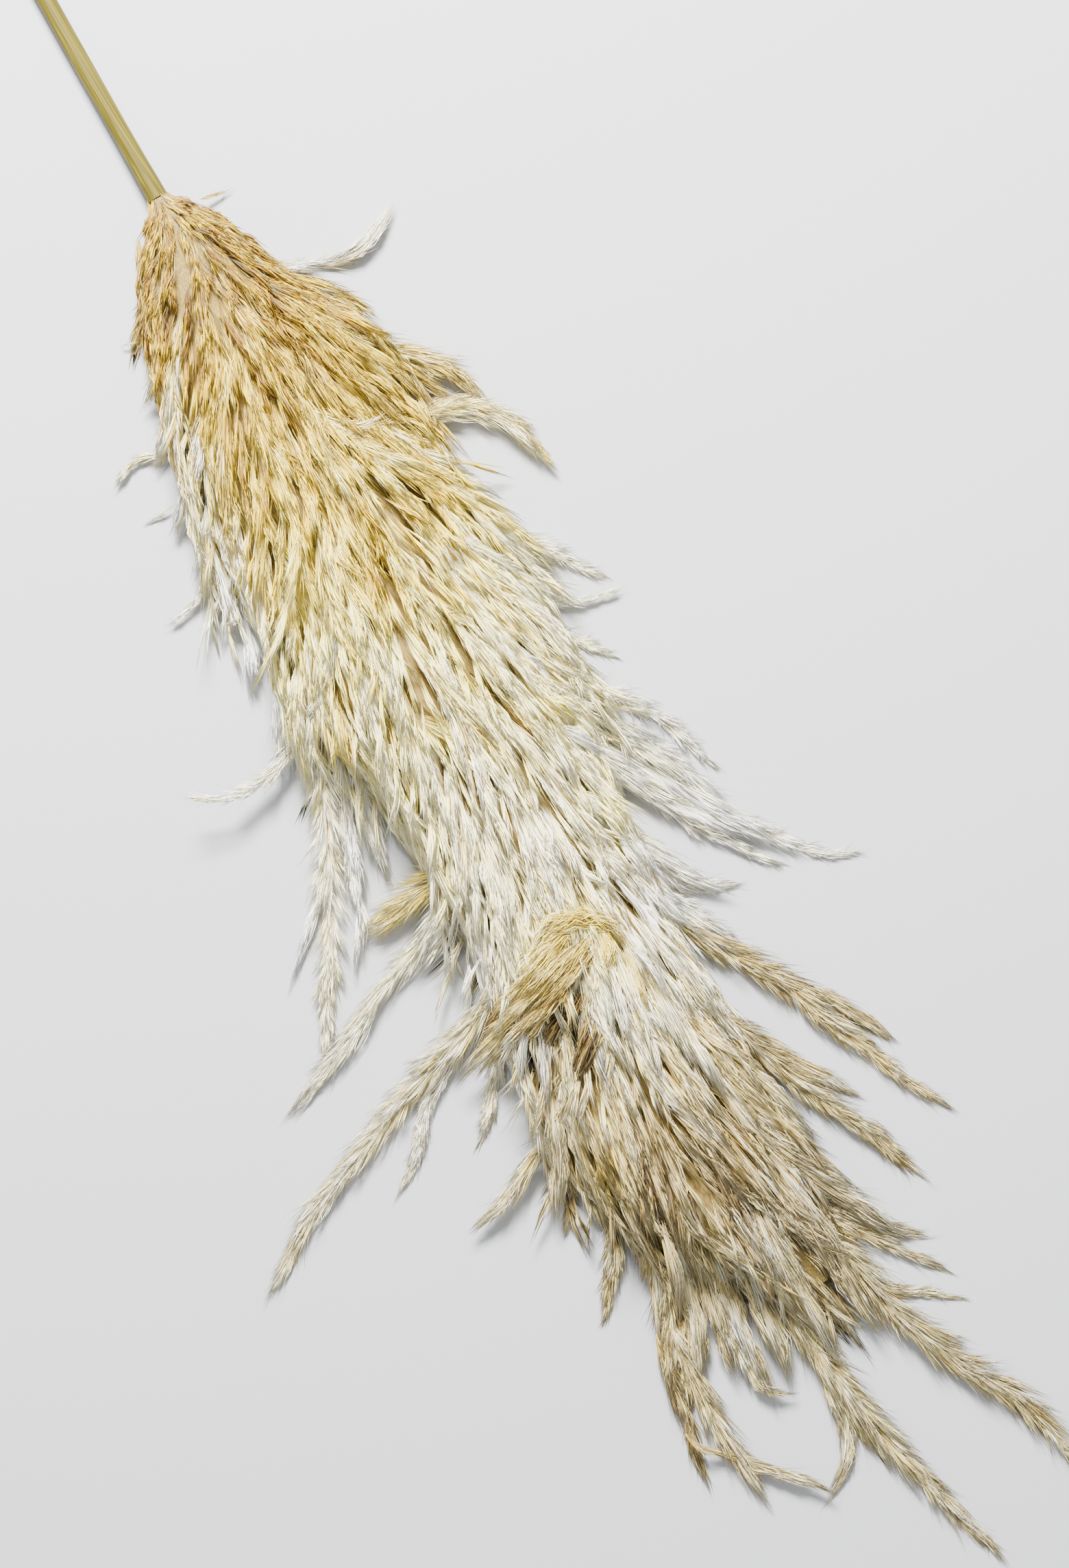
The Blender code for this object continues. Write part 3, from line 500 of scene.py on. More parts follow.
BASE = to_frame(PLUME_BASE_PIXEL)
PICTURE_RIGHT = Vector((math.sin(AXIS_TURN), math.cos(AXIS_TURN), 0.0))
PICTURE_UP = Vector((-math.cos(AXIS_TURN), math.sin(AXIS_TURN), 0.0))


# Materials
def set_inputs(node, values):
    for label, value in values.items():
        node.inputs[label].default_value = value
    return node


def new_material(name, values):
    """A material, its nodes and links, and its shader with the given values."""
    material = bpy.data.materials.new(name)
    material.use_nodes = True
    nodes = material.node_tree.nodes
    return material, nodes, material.node_tree.links, set_inputs(nodes["Principled BSDF"], values)


def add_ramp(nodes, links, value, stops):
    ramp = nodes.new("ShaderNodeValToRGB")
    elements = ramp.color_ramp.elements
    while len(elements) < len(stops):
        elements.new(0.5)
    for element, (place, colour) in zip(elements, stops):
        element.position = place
        element.color = (*colour, 1.0)
    links.new(value, ramp.inputs["Fac"])
    return ramp.outputs["Color"]


def add_noise(nodes, links, scale, detail, stretch=None):
    """Noise over the object, drawn out along it where a stretch is given."""
    place = nodes.new("ShaderNodeTexCoord").outputs["Object"]
    if stretch:
        mapping = set_inputs(nodes.new("ShaderNodeMapping"), {"Scale": stretch})
        links.new(place, mapping.inputs["Vector"])
        place = mapping.outputs["Vector"]
    noise = set_inputs(nodes.new("ShaderNodeTexNoise"), {"Scale": scale, "Detail": detail})
    links.new(place, noise.inputs["Vector"])
    return noise.outputs["Fac"]


def add_bump(nodes, links, height, shader, strength, distance):
    bump = set_inputs(nodes.new("ShaderNodeBump"), {"Strength": strength, "Distance": distance})
    links.new(height, bump.inputs["Height"])
    links.new(bump.outputs["Normal"], shader.inputs["Normal"])


def add_mix(nodes, blend):
    mix = nodes.new("ShaderNodeMix")
    mix.data_type = "RGBA"
    mix.blend_type = blend
    return mix


# A hair's colour by its tone, from dark to light
CREAM_STOPS = (
    (0.00, (0.050, 0.027, 0.004)),
    (0.20, (0.235, 0.142, 0.028)),
    (0.42, (0.585, 0.430, 0.128)),
    (0.62, (0.850, 0.710, 0.310)),
    (0.82, (0.965, 0.885, 0.585)),
    (1.00, (0.990, 0.955, 0.800)),
)
GOLD_STOPS = (
    (0.00, (0.048, 0.022, 0.001)),
    (0.20, (0.240, 0.116, 0.005)),
    (0.42, (0.545, 0.352, 0.009)),
    (0.62, (0.815, 0.615, 0.042)),
    (0.82, (0.930, 0.790, 0.160)),
    (1.00, (0.970, 0.890, 0.380)),
)
# The colours of the core, whose dark browns are partly the branch bases' own and partly painted
# shade, the culm and the branches
CORE_SHADE_STOPS = (
    (0.30, (0.120, 0.070, 0.012)),
    (0.50, (0.240, 0.160, 0.032)),
    (0.70, (0.380, 0.280, 0.080)),
)
STEM_STOPS = (
    (0.25, (0.047, 0.036, 0.0018)),
    (0.50, (0.086, 0.069, 0.0050)),
    (0.75, (0.165, 0.134, 0.0150)),
)
BRANCH_STOPS = (
    (0.35, (0.260, 0.130, 0.014)),
    (0.55, (0.480, 0.310, 0.050)),
    (0.75, (0.640, 0.480, 0.130)),
)
# What a cool hair's colour is multiplied by
COOL_TINT = (0.79, 0.85, 1.24)
HAIR_NOISE = 0.12
FLOOR_COLOUR = (0.440, 0.447, 0.460, 1.0)


def hair_material(name):
    """Hair from its dark root to its pale tip, cream or golden, and duller where it is cool; the
    root's darkness is partly painted shade, and the tip's lightness partly painted light.
    """
    material, nodes, links, shader = new_material(name, {
        "Roughness": 0.5, "Specular IOR Level": 0.2, "Sheen Weight": 0.12, "Sheen Roughness": 0.4})
    look = nodes.new("ShaderNodeAttribute")
    look.attribute_name = "look"
    parts = nodes.new("ShaderNodeSeparateXYZ")
    links.new(look.outputs["Vector"], parts.inputs["Vector"])
    # the tone varies a little along each hair
    shift = nodes.new("ShaderNodeMath")
    shift.operation = "MULTIPLY_ADD"
    links.new(add_noise(nodes, links, 900.0, 2.0), shift.inputs[0])
    shift.inputs[1].default_value = HAIR_NOISE
    shift.inputs[2].default_value = -HAIR_NOISE / 2
    tone = nodes.new("ShaderNodeMath")
    tone.operation = "ADD"
    links.new(parts.outputs["X"], tone.inputs[0])
    links.new(shift.outputs[0], tone.inputs[1])
    kind = add_mix(nodes, "MIX")
    links.new(parts.outputs["Y"], kind.inputs["Factor"])
    links.new(add_ramp(nodes, links, tone.outputs[0], CREAM_STOPS), kind.inputs["A"])
    links.new(add_ramp(nodes, links, tone.outputs[0], GOLD_STOPS), kind.inputs["B"])
    dull = add_mix(nodes, "MULTIPLY")
    links.new(parts.outputs["Z"], dull.inputs["Factor"])
    links.new(kind.outputs["Result"], dull.inputs["A"])
    dull.inputs["B"].default_value = (*COOL_TINT, 1.0)
    links.new(dull.outputs["Result"], shader.inputs["Base Color"])
    return material


def core_material():
    """The tangle of branch bases and shaded hair between the locks, its dark colour partly painted
    shade.
    """
    material, nodes, links, shader = new_material("plume_shaded_core", {"Roughness": 0.8})
    streaks = add_noise(nodes, links, 5.0, 4.0, (60.0, 700.0, 400.0))
    links.new(add_ramp(nodes, links, streaks, CORE_SHADE_STOPS), shader.inputs["Base Color"])
    add_bump(nodes, links, streaks, shader, 0.6, 0.0008)
    return material


def stem_material():
    """Smooth straw with fine lengthwise fibres."""
    material, nodes, links, shader = new_material("straw_culm", {
        "Roughness": 0.5, "Specular IOR Level": 0.15})
    fibres = add_noise(nodes, links, 1.0, 3.0, (14.0, 1500.0, 1500.0))
    links.new(add_ramp(nodes, links, fibres, STEM_STOPS), shader.inputs["Base Color"])
    add_bump(nodes, links, fibres, shader, 0.35, 0.0002)
    return material


def branch_material():
    """The thin branches: golden straw, browner in places along their length."""
    material, nodes, links, shader = new_material("branch_straw", {"Roughness": 0.5})
    noise = add_noise(nodes, links, 160.0, 2.0)
    links.new(add_ramp(nodes, links, noise, BRANCH_STOPS), shader.inputs["Base Color"])
    return material


def floor_material():
    return new_material("pale_surface", {"Base Color": FLOOR_COLOUR, "Roughness": 0.9})[0]


# Shapes
def blend_points(before, start, end, after, t):
    """A point between start and end on a smooth curve through all four."""
    return 0.5 * (
        2.0 * start
        + (end - before) * t
        + (2.0 * before - 5.0 * start + 4.0 * end - after) * t * t
        + (3.0 * start - before - 3.0 * end + after) * t * t * t
    )


def smooth_route(pixels, count, back=0.0):
    """count + 1 points at equal steps along a smooth curve, begun a little further back."""
    points = [to_frame(pixel) for pixel in pixels]
    points[0] = points[0] + unit(points[0] - points[1]) * back
    padded = [2 * points[0] - points[1], *points, 2 * points[-1] - points[-2]]
    fine = []
    for i in range(len(points) - 1):
        for k in range(12):
            fine.append(blend_points(*padded[i:i + 4], k / 12))
    fine.append(points[-1])
    fine = np.array(fine)
    steps = np.linalg.norm(np.diff(fine, axis=0), axis=1)
    reach = np.concatenate(([0.0], np.cumsum(steps)))
    wanted = np.linspace(0.0, reach[-1], count + 1)
    return np.stack([np.interp(wanted, reach, fine[:, k]) for k in range(3)], 1)


def far_apart(place, count):
    """Picks places one by one, each time the one furthest from all those picked before."""
    chosen = [0]
    gap = np.linalg.norm(place - place[0], axis=1)
    while len(chosen) < count:
        chosen.append(int(np.argmax(gap)))
        gap = np.minimum(gap, np.linalg.norm(place - place[chosen[-1]], axis=1))
    return np.array(chosen)


def smooth_step(value, start, end):
    t = np.clip((value - start) / (end - start), 0.0, 1.0)
    return t * t * (3.0 - 2.0 * t)


def lateness(x):
    """0 where the hair is short and golden, 1 where it is long, towards the plume's end."""
    return smooth_step(x - BASE[0], *LONG_HAIR_FROM)


def body_section(along):
    """The +Y edge, the -Y edge and the crown of the dense middle, for an array of distances."""
    return [np.interp(along, BODY_STATIONS[:, 0], BODY_STATIONS[:, k]) for k in (1, 2, 3)]


def body_share(along, aside):
    """How far from the dense middle's own middle: -1 at its -Y edge, and 1 at its +Y edge."""
    plus, minus = body_section(along)[:2]
    return (aside - (plus + minus) / 2) / ((plus - minus) / 2)


def branch_level(along):
    """How high the branches run, as a share of the solid's own height there."""
    return 1.0 - BRANCH_SINK * smooth_step(along, *BRANCH_SINK_FROM)


def body_height(along, aside):
    """How high the branches lie over a place."""
    plus, minus, crown = body_section(along)
    crown = crown * branch_level(along)
    edge = np.minimum(EDGE_HEIGHT, crown * EDGE_SHARE)
    share = np.abs(body_share(along, aside))
    inside = edge + (crown - edge) * (1.0 - np.minimum(share, 1.0) ** 2.2) ** 0.6
    fall = np.minimum(EDGE_FALL * (share - 1.0) * (plus - minus) / 2, LOWEST_FALL)
    return np.where(share >= 1.0, edge - fall, inside)


def flow_angle(along, aside):
    """Which way the hair runs, as an angle from the plume's axis towards +Y."""
    minus, middle, plus = [np.interp(along, FLOW_STATIONS[:, 0], FLOW_STATIONS[:, k])
                           for k in (1, 2, 3)]
    share = np.clip(body_share(along, aside), -1.15, 1.15)
    bend = (plus + minus) / 2 - middle
    turn = middle + (plus - minus) / 2 * share + bend * share * share
    return np.radians(turn) - AXIS_TURN


def unit(vectors):
    return vectors / np.maximum(np.linalg.norm(vectors, axis=-1, keepdims=True), 1e-9)


def add_piece(name, mesh, material):
    mesh.materials.append(material)
    piece = bpy.data.objects.new(name, mesh)
    bpy.context.collection.objects.link(piece)
    return piece


class Hair:
    """Collects strands and turns them into one mesh of closed, pointed hairs."""

    def __init__(self):
        self.corners = []
        self.looks = []

    def add(self, first, middle, last, across, above, radius, look):
        """Strands through three points each; look is (count, 3) for tone, gold and cool."""
        full = radius > 0
        first, middle, last, across, above = [part[full] for part in
                                              (first, middle, last, across, above)]
        radius = radius[full]
        look = look[full]
        count = len(first)
        roll = rng.uniform(0.0, math.tau, count)
        ring = []
        for k in range(3):
            angle = roll + math.tau * k / 3
            ring.append(middle + (np.cos(angle) * radius)[:, None] * across
                        + (np.sin(angle) * radius)[:, None] * above)
        strand = np.stack([first, *ring, last], axis=1)
        strand[..., 2] = np.maximum(strand[..., 2], FLOOR_CLEARANCE)
        self.corners.append(strand)
        looks = np.repeat(look[:, None], 5, axis=1)
        # painted shade at each hair's root, with its real golden tint, and painted light at its
        # tip, with its real paler tint
        looks[:, 0, 0] -= ROOT_SHADE
        looks[:, 0, 1] += ROOT_GOLD
        looks[:, 4, 0] += TIP_LIGHT
        looks[:, 4, 1] -= TIP_PALE
        looks[:, :, 1:] = np.clip(looks[:, :, 1:], 0.0, 1.0)
        self.looks.append(looks)

    def build(self, name, material):
        corners = np.concatenate(self.corners)
        looks = np.concatenate(self.looks)
        count = len(corners)
        # five corners and six faces for each strand
        base = np.arange(count)[:, None, None] * 5
        shape = np.array(((0, 2, 1), (0, 3, 2), (0, 1, 3), (4, 1, 2), (4, 2, 3), (4, 3, 1)))
        faces = (base + shape[None]).reshape(-1, 3)
        mesh = bpy.data.meshes.new(name)
        mesh.vertices.add(count * 5)
        mesh.vertices.foreach_set("co", corners.astype(np.float32).ravel())
        mesh.loops.add(len(faces) * 3)
        mesh.loops.foreach_set("vertex_index", faces.astype(np.int32).ravel())
        mesh.polygons.add(len(faces))
        mesh.polygons.foreach_set("loop_start", np.arange(0, len(faces) * 3, 3, dtype=np.int32))
        mesh.polygons.foreach_set("use_smooth", np.ones(len(faces), dtype=bool))
        look = mesh.attributes.new("look", "FLOAT_VECTOR", "POINT")
        look.data.foreach_set("vector", looks.astype(np.float32).ravel())
        self.add_cells(mesh, count)
        mesh.update(calc_edges=True)
        mesh.validate()
        return add_piece(name, mesh, material)

    def add_cells(self, mesh, count):
        """Gives each strand a small cell of its own in the texture map."""
        columns = math.ceil(math.sqrt(count))
        cell = np.arange(count)
        corner = np.stack([cell % columns, cell // columns], 1) / columns
        # across and up in the cell, for the three corners of each of a strand's faces
        local = np.array((
            ((0.20, 0.05), (0.35, 0.5), (0.05, 0.5)), ((0.50, 0.05), (0.65, 0.5), (0.35, 0.5)),
            ((0.80, 0.05), (0.95, 0.5), (0.65, 0.5)), ((0.20, 0.95), (0.05, 0.5), (0.35, 0.5)),
            ((0.50, 0.95), (0.35, 0.5), (0.65, 0.5)), ((0.80, 0.95), (0.65, 0.5), (0.95, 0.5)),
        )).reshape(1, 18, 2)
        layout = (corner[:, None] + local / columns).astype(np.float32)
        layer = mesh.uv_layers.new(name="OFBake")
        layer.data.foreach_set("uv", layout.ravel())


class Locks:
    """Feathery locks: each has a route for its thin branch, with clumps of hair all along it."""

    def __init__(self, route, up, width, tone, gold, cool):
        self.route = route
        self.up = up
        self.width = width
        self.tone = tone
        self.gold = gold
        self.cool = cool
        self.steps = route.shape[1] - 1
        self.length = np.linalg.norm(np.diff(route, axis=1), axis=2).sum(1)

    def place_at(self, t):
        place = np.clip(t, 0.0, 1.0) * self.steps
        low = np.minimum(place.astype(int), self.steps - 1)
        return low, place - low

    def frame_at(self, lock, t):
        """The point on the branch, and the directions across and above it."""
        low, part = self.place_at(t)
        part = part[..., None]
        start = self.route[lock, low]
        end = self.route[lock, low + 1]
        heading = unit(end - start)
        beyond = np.maximum(t - 1.0, 0.0) * self.length[lock]
        point = start + (end - start) * part + heading * beyond[..., None]
        up = self.up[lock, low] * (1 - part) + self.up[lock, low + 1] * part
        across = unit(np.cross(up, heading))
        return point, across, np.cross(heading, across)

    def width_at(self, lock, t):
        low, part = self.place_at(t)
        return self.width[lock, low] * (1 - part) + self.width[lock, low + 1] * part

    def clumps(self, which, count, reach, turns, flat, flare, longer=LONG_HAIR,
               closer=CLOSE_HAIR):
        """Each clump's middle line in three points, its width, upward direction and look."""
        lock = np.repeat(which, count)
        total = len(lock)
        late = lateness(self.route[lock, 0, 0])
        early = 1.0 - smooth_step(self.route[lock, 0, 0] - BASE[0], 0.0, SHORT_HAIR_TO)
        size = (1.0 + longer * late) * (1.0 - SHORT_HAIR * early)
        span = rng.uniform(*reach, total) * size / self.length[lock]
        span = np.minimum(span, LONGEST_HAIR)
        begin = rng.uniform(-0.02, 1.0, total) * (1.0 - 0.85 * np.minimum(span, 1.0))
        turn = rng.uniform(*turns, total)
        share = rng.uniform(*CLUMP_SHARE, total) ** 0.6
        # a clump stands out to the lock's width where it starts, so that its tip shows
        width = self.width_at(lock, begin + span * 0.35)
        last_room = np.clip((1.0 - begin - span) / (span * 0.5) + 0.35, 0.25, 1.0)
        points = []
        for part, out in zip((0.0, 0.5, 1.0), (*CLUMP_OUT, flare)):
            point, across, above = self.frame_at(lock, begin + span * part)
            if part == 1.0:
                out = out * last_room * (1.0 - closer * late)
            off = share * width * out
            points.append(point + (np.cos(turn) * off)[:, None] * across
                          + (np.sin(turn) * off * flat)[:, None] * above)
        # clumps that lie low in the lock get painted shade, and those high in it painted light
        tone = self.tone[lock] + DEPTH_SHADE * (share * np.sin(turn) - 0.4)
        return points, width, above, tone, self.gold[lock], self.cool[lock]


def touch_up(centre, look, thinning):
    """Makes hairs golden in the patches and dark with painted shade in the pits, and thins them out
    in a pit.
    """
    keep = np.ones(centre.shape[:-1])
    for pixel, radius, strength in GOLD_PATCHES:
        gap = centre[..., :2] - to_frame(pixel)[:2]
        near = np.exp(-np.sum(gap * gap, -1) / (radius * METRES_PER_PIXEL) ** 2)
        look[..., 1] += strength * near
        look[..., 0] -= PATCH_SHADE * strength * near
    for pixel, radius, strength in SHADED_PITS:
        spot = to_frame(pixel)
        angle = flow_angle(spot[0] - BASE[0], spot[1] - BASE[1])
        gap = centre[..., :2] - spot[:2]
        ahead = gap[..., 0] * math.cos(angle) + gap[..., 1] * math.sin(angle)
        aside = gap[..., 1] * math.cos(angle) - gap[..., 0] * math.sin(angle)
        away = (ahead / PIT_STRETCH) ** 2 + aside ** 2
        near = strength * np.exp(-away / (radius * METRES_PER_PIXEL) ** 2)
        late = lateness(spot[0])
        # painted shade in the pit, tinted golden brown except towards the plume's end
        look[..., 0] -= (PIT_SHADE + PIT_SHADE_BELOW * late) * near
        look[..., 1] += PIT_GOLD * near * (1.0 - late)
        keep = np.where(rng.uniform(0.0, 1.0, keep.shape) < near * thinning, 0.0, keep)
    return keep


def grow_clumps(bundle, points, spread, above, tone, gold, cool, hairs, radius,
                thinning=PIT_THINNING):
    """Fills clumps with hairs: close at the root, full half way, drawn to a point at the tip."""
    first, middle, last = points
    count = len(first)
    heading = unit(last - first)
    across = unit(np.cross(above, heading))
    above = np.cross(heading, across)
    length = np.linalg.norm(last - first, axis=1)
    middle = middle + across * (rng.normal(0.0, CLUMP_BEND, count) * length)[:, None]
    middle = middle + above * (rng.uniform(0.0, CLUMP_RISE, count) * length)[:, None]
    shape = (count, hairs)
    turn = rng.uniform(0.0, math.tau, shape)
    reach = np.sqrt(rng.uniform(0.0, 1.0, shape)) * spread[:, None]
    rise = np.sin(turn) * reach * CLUMP_FLATNESS
    off = (np.cos(turn) * reach)[..., None] * across[:, None] + rise[..., None] * above[:, None]
    begin = rng.uniform(*HAIR_BEGIN, shape)[..., None]
    finish = rng.uniform(*HAIR_FINISH, shape)[..., None]
    half = (begin + finish) / 2

    def on_line(t):
        early = first[:, None] * (1 - 2 * t) + middle[:, None] * (2 * t)
        late = middle[:, None] * (2 - 2 * t) + last[:, None] * (2 * t - 1)
        return np.where(t < 0.5, early, late)

    start = on_line(begin) + off * CLUMP_ROOT
    centre = on_line(half) + off
    end = on_line(finish) + off * CLUMP_TIP + rng.normal(0.0, TIP_SPREAD, shape + (3,))
    # a few hairs stand away from the rest
    stray = (rng.uniform(0.0, 1.0, shape) < STRAY_SHARE)[..., None]
    end = end + np.where(stray, off / np.maximum(reach, 1e-5)[..., None] * STRAY_REACH, 0.0)
    look = np.empty(shape + (3,))
    look[..., 0] = (tone + rng.normal(0.0, CLUMP_TONE, count))[:, None]
    # besides a random tone, hairs on a clump's upper side get a little painted light, and those
    # under it painted shade
    look[..., 0] += rng.normal(0.0, HAIR_TONE, shape) + 0.05 * np.sin(turn)
    look[..., 0] -= np.where(rng.uniform(0.0, 1.0, shape) < DARK_SHARE, DARK_SHADE, 0.0)
    # hairs that lie side by side share a tone, so that streaks show
    side = np.cos(turn) * reach / spread[:, None]
    streak = np.clip((side + 1.0) / 2 * STREAKS, 0, STREAKS - 1).astype(int)
    look[..., 0] += np.take_along_axis(rng.normal(0.0, STREAK_TONE, (count, STREAKS)), streak, 1)
    look[..., 1] = (gold + rng.normal(0.0, CLUMP_GOLD, count))[:, None]
    look[..., 2] = cool[:, None]
    keep = touch_up(centre, look, thinning)
    size = radius * rng.uniform(*HAIR_THICKNESS, shape) * keep
    flat = (-1, 3)
    full = np.broadcast_to(across[:, None], shape + (3,))
    over = np.broadcast_to(above[:, None], shape + (3,))
    bundle.add(start.reshape(flat), centre.reshape(flat), end.reshape(flat), full.reshape(flat),
               over.reshape(flat), size.ravel(), look.reshape(flat))


def body_shape():
    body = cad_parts["plume_body"]
    corners = np.array([vert.co for vert in body.data.vertices])
    corners[:, 2] *= branch_level(corners[:, 0] - BASE[0])
    faces = [tuple(face.vertices) for face in body.data.polygons]
    return BVHTree.FromPolygons(corners.tolist(), faces), corners, np.array(faces)


def scatter_on_body(corners, faces, count):
    """Places spread evenly over the faces of the dense middle."""
    a, b, c = corners[faces[:, 0]], corners[faces[:, 1]], corners[faces[:, 2]]
    normal = np.cross(b - a, c - a)
    area = np.linalg.norm(normal, axis=1) / 2
    normal = unit(normal)
    weight = area * np.where(normal[:, 2] < UNDERSIDE, UNDERSIDE_SHARE, 1.0)
    weight = weight * (normal[:, 0] > END_FACE)
    reach = np.cumsum(weight)
    wanted = (np.arange(count) + rng.uniform(0.0, 1.0, count)) / count * reach[-1]
    picks = np.minimum(np.searchsorted(reach, wanted), len(faces) - 1)
    u, v = rng.uniform(0.0, 1.0, (2, count))
    flip = u + v > 1
    u, v = np.where(flip, 1 - u, u), np.where(flip, 1 - v, v)
    place = a[picks] + (b - a)[picks] * u[:, None] + (c - a)[picks] * v[:, None]
    return place, normal[picks]


def flow_heading(place, normal, turn):
    """The way the hair runs at each place, along the surface."""
    along = place[:, 0] - BASE[0]
    aside = place[:, 1] - BASE[1]
    wave = FLOW_WAVE * np.sin(along * 75.0 + aside * 60.0) * np.sin(aside * 110.0 - along * 31.0)
    angle = flow_angle(along, aside) + turn + wave
    level = np.stack([np.cos(angle), np.sin(angle), np.zeros(len(place))], 1)
    heading = unit(level - normal * np.sum(level * normal, 1, keepdims=True))
    # where the surface stands across the flow, the hair runs on over it
    across = np.sum(heading * level, 1, keepdims=True) < FLOW_ACROSS
    return np.where(across, unit(heading * FLOW_BEND + level), heading)


def settle(tree, place, normal, free):
    """Puts each place back on the surface, or lets it run on where it has left the plume."""
    for i in range(len(place)):
        spot, turn, _, gap = tree.find_nearest(place[i])
        # the small end face at the culm is passed over
        if turn[0] < END_FACE_TURN:
            continue
        if gap < (FREE_GAP if free[i] else KEPT_GAP):
            place[i] = spot
            normal[i] = unit(normal[i] * 0.6 + np.array(turn) * 0.4)
        else:
            place[i, 2] = max(min(place[i, 2] - FREE_DROP, spot[2] + FREE_HEIGHT), FREE_LOWEST)
    return place, normal


def trace(tree, place, normal, length, turn, free):
    """Routes along the flow from each place, cut where they have left the plume far enough."""
    count = len(place)
    step = (length / LOCK_STEPS)[:, None]
    room = rng.uniform(*LOCK_OVERHANG, count)
    route = [place.copy()]
    ups = [normal.copy()]
    reach = np.full(count, LOCK_STEPS)
    for k in range(LOCK_STEPS):
        place = place + flow_heading(place, normal, turn) * step
        along = place[:, 0] - BASE[0]
        aside = place[:, 1] - BASE[1]
        plus, minus = body_section(along)[:2]
        own = room * (0.2 + 0.8 * smooth_step(along, 0.0, 0.05))
        own = own + FAN_OVERHANG * smooth_step(along, *FAN_REACH)
        out = (aside > plus + own) | (aside < minus - own)
        reach = np.where(out & (k >= 3), np.minimum(reach, k + 1), reach)
        place, normal = settle(tree, place, normal, free)
        route.append(place.copy())
        ups.append(normal.copy())
    route = np.stack(route, 1)
    ups = np.stack(ups, 1)
    # each route is shared out again over the length that it keeps
    share = np.linspace(0.0, 1.0, LOCK_STEPS + 1)[None] * reach[:, None]
    low = np.minimum(share.astype(int), LOCK_STEPS - 1)
    part = (share - low)[..., None]
    rows = np.arange(count)[:, None]
    route = route[rows, low] * (1 - part) + route[rows, low + 1] * part
    ups = unit(ups[rows, low] * (1 - part) + ups[rows, low + 1] * part)
    t = np.linspace(0.0, 1.0, LOCK_STEPS + 1)
    lift = rng.uniform(*LOCK_LIFT, count)
    height = -LOCK_SINK + (LOCK_SINK + lift)[:, None] * t[None] ** 1.1
    return route + ups * height[..., None], ups


def body_routes(count, length):
    """Routes over the dense middle, each traced back along the flow and then forwards."""
    tree, corners, faces = body_shape()
    place, normal = scatter_on_body(corners, faces, count * LOCK_TRIALS)
    chosen = far_apart(place, count)
    place, normal = place[chosen], normal[chosen]
    turn = rng.normal(0.0, LOCK_TURN, count)
    free = rng.uniform(0.0, 1.0, count) < FREE_SHARE
    never = np.zeros(count, dtype=bool)
    step = (length / LOCK_STEPS)[:, None]
    for _ in range(LOCK_STEPS // 2):
        back = place - flow_heading(place, normal, turn) * step
        early = back[:, 0] < BASE[0] + LOCK_START
        back[early] = place[early]
        place, normal = settle(tree, back, normal, never)
    return trace(tree, place, normal, length, turn, free)


def collar_routes(count, length):
    """Routes that start in a ring where the culm ends, and fan out over the plume."""
    tree = body_shape()[0]
    round_it = math.pi * (1.3 * (np.arange(count) + rng.uniform(-0.3, 0.3, count)) / count - 0.15)
    ups = np.stack([np.zeros(count), np.cos(round_it), np.sin(round_it)], 1)
    start = rng.uniform(*COLLAR_START, count)
    place = ups * COLLAR_RADIUS + np.array((BASE[0], BASE[1], STEM_BASE_HEIGHT))
    place[:, 0] += start
    turn = rng.normal(0.0, COLLAR_TURN, count)
    free = np.zeros(count, dtype=bool)
    return trace(tree, place, ups, length, turn, free)


def body_profile(t):
    """A body lock's width along it: narrow at its root, and drawn out to a point."""
    rise = 0.40 + 0.60 * np.sin(math.pi / 2 * np.minimum(t / 0.25, 1.0))
    fall = np.cos(math.pi / 2 * np.clip((t - 0.40) / 0.62, 0.0, 1.0)) ** 1.15
    return rise * np.maximum(fall, 0.05)


def zone_look(place):
    """Tone, gold and cool for places along the plume."""
    along = place[:, 0] - BASE[0]
    share = body_share(along, place[:, 1] - BASE[1])
    tone, gold, cool = [np.interp(along, *zone) for zone in (ZONE_TONE, ZONE_GOLD, ZONE_COOL)]
    wave = np.sin(place[:, 0] * 61.0 + 1.0) * np.sin(place[:, 1] * 83.0 + place[:, 0] * 20.0)
    pale = np.clip((np.abs(share) - 0.75) / 0.5, 0.0, 1.0)
    side = np.clip((-share - 0.42) / 0.40, 0.0, 1.0)
    side = side * smooth_step(along, *SIDE_FROM) * (1.0 - smooth_step(along, *SIDE_TO))
    tone = tone + ZONE_WAVE * wave + EDGE_TONE * pale * (1.0 - smooth_step(along, *LONG_HAIR_FROM))
    tone = tone + SIDE_TONE * side
    gold = gold * (1.0 - EDGE_PALE * pale) * (1.0 - SIDE_PALE * side) + ZONE_GOLD_WAVE * wave
    return tone, gold, cool + EDGE_COOL * pale + SIDE_COOL * side


def body_locks(count):
    """The locks of the dense middle, those round the collar first."""
    length = rng.uniform(*LOCK_LENGTH, count)
    route, ups = body_routes(count - COLLAR_LOCKS, length[COLLAR_LOCKS:])
    ring, ring_ups = collar_routes(COLLAR_LOCKS, length[:COLLAR_LOCKS] * COLLAR_LENGTH)
    route = np.concatenate((ring, route))
    ups = np.concatenate((ring_ups, ups))
    tone, gold, cool = zone_look(route[:, LOCK_STEPS // 2])
    tone = tone + rng.normal(0.0, LOCK_TONE, count)
    gold = gold + rng.normal(0.0, LOCK_GOLD, count)
    width = rng.uniform(*LOCK_HALF_WIDTH, count)
    width = width[:, None] * body_profile(np.linspace(0.0, 1.0, LOCK_STEPS + 1))[None]
    width[:COLLAR_LOCKS] *= COLLAR_WIDTH
    width *= (1.0 - NARROW_LOCKS * lateness(route[:, 0, 0]))[:, None]
    return Locks(route, ups, width, tone, gold, cool)


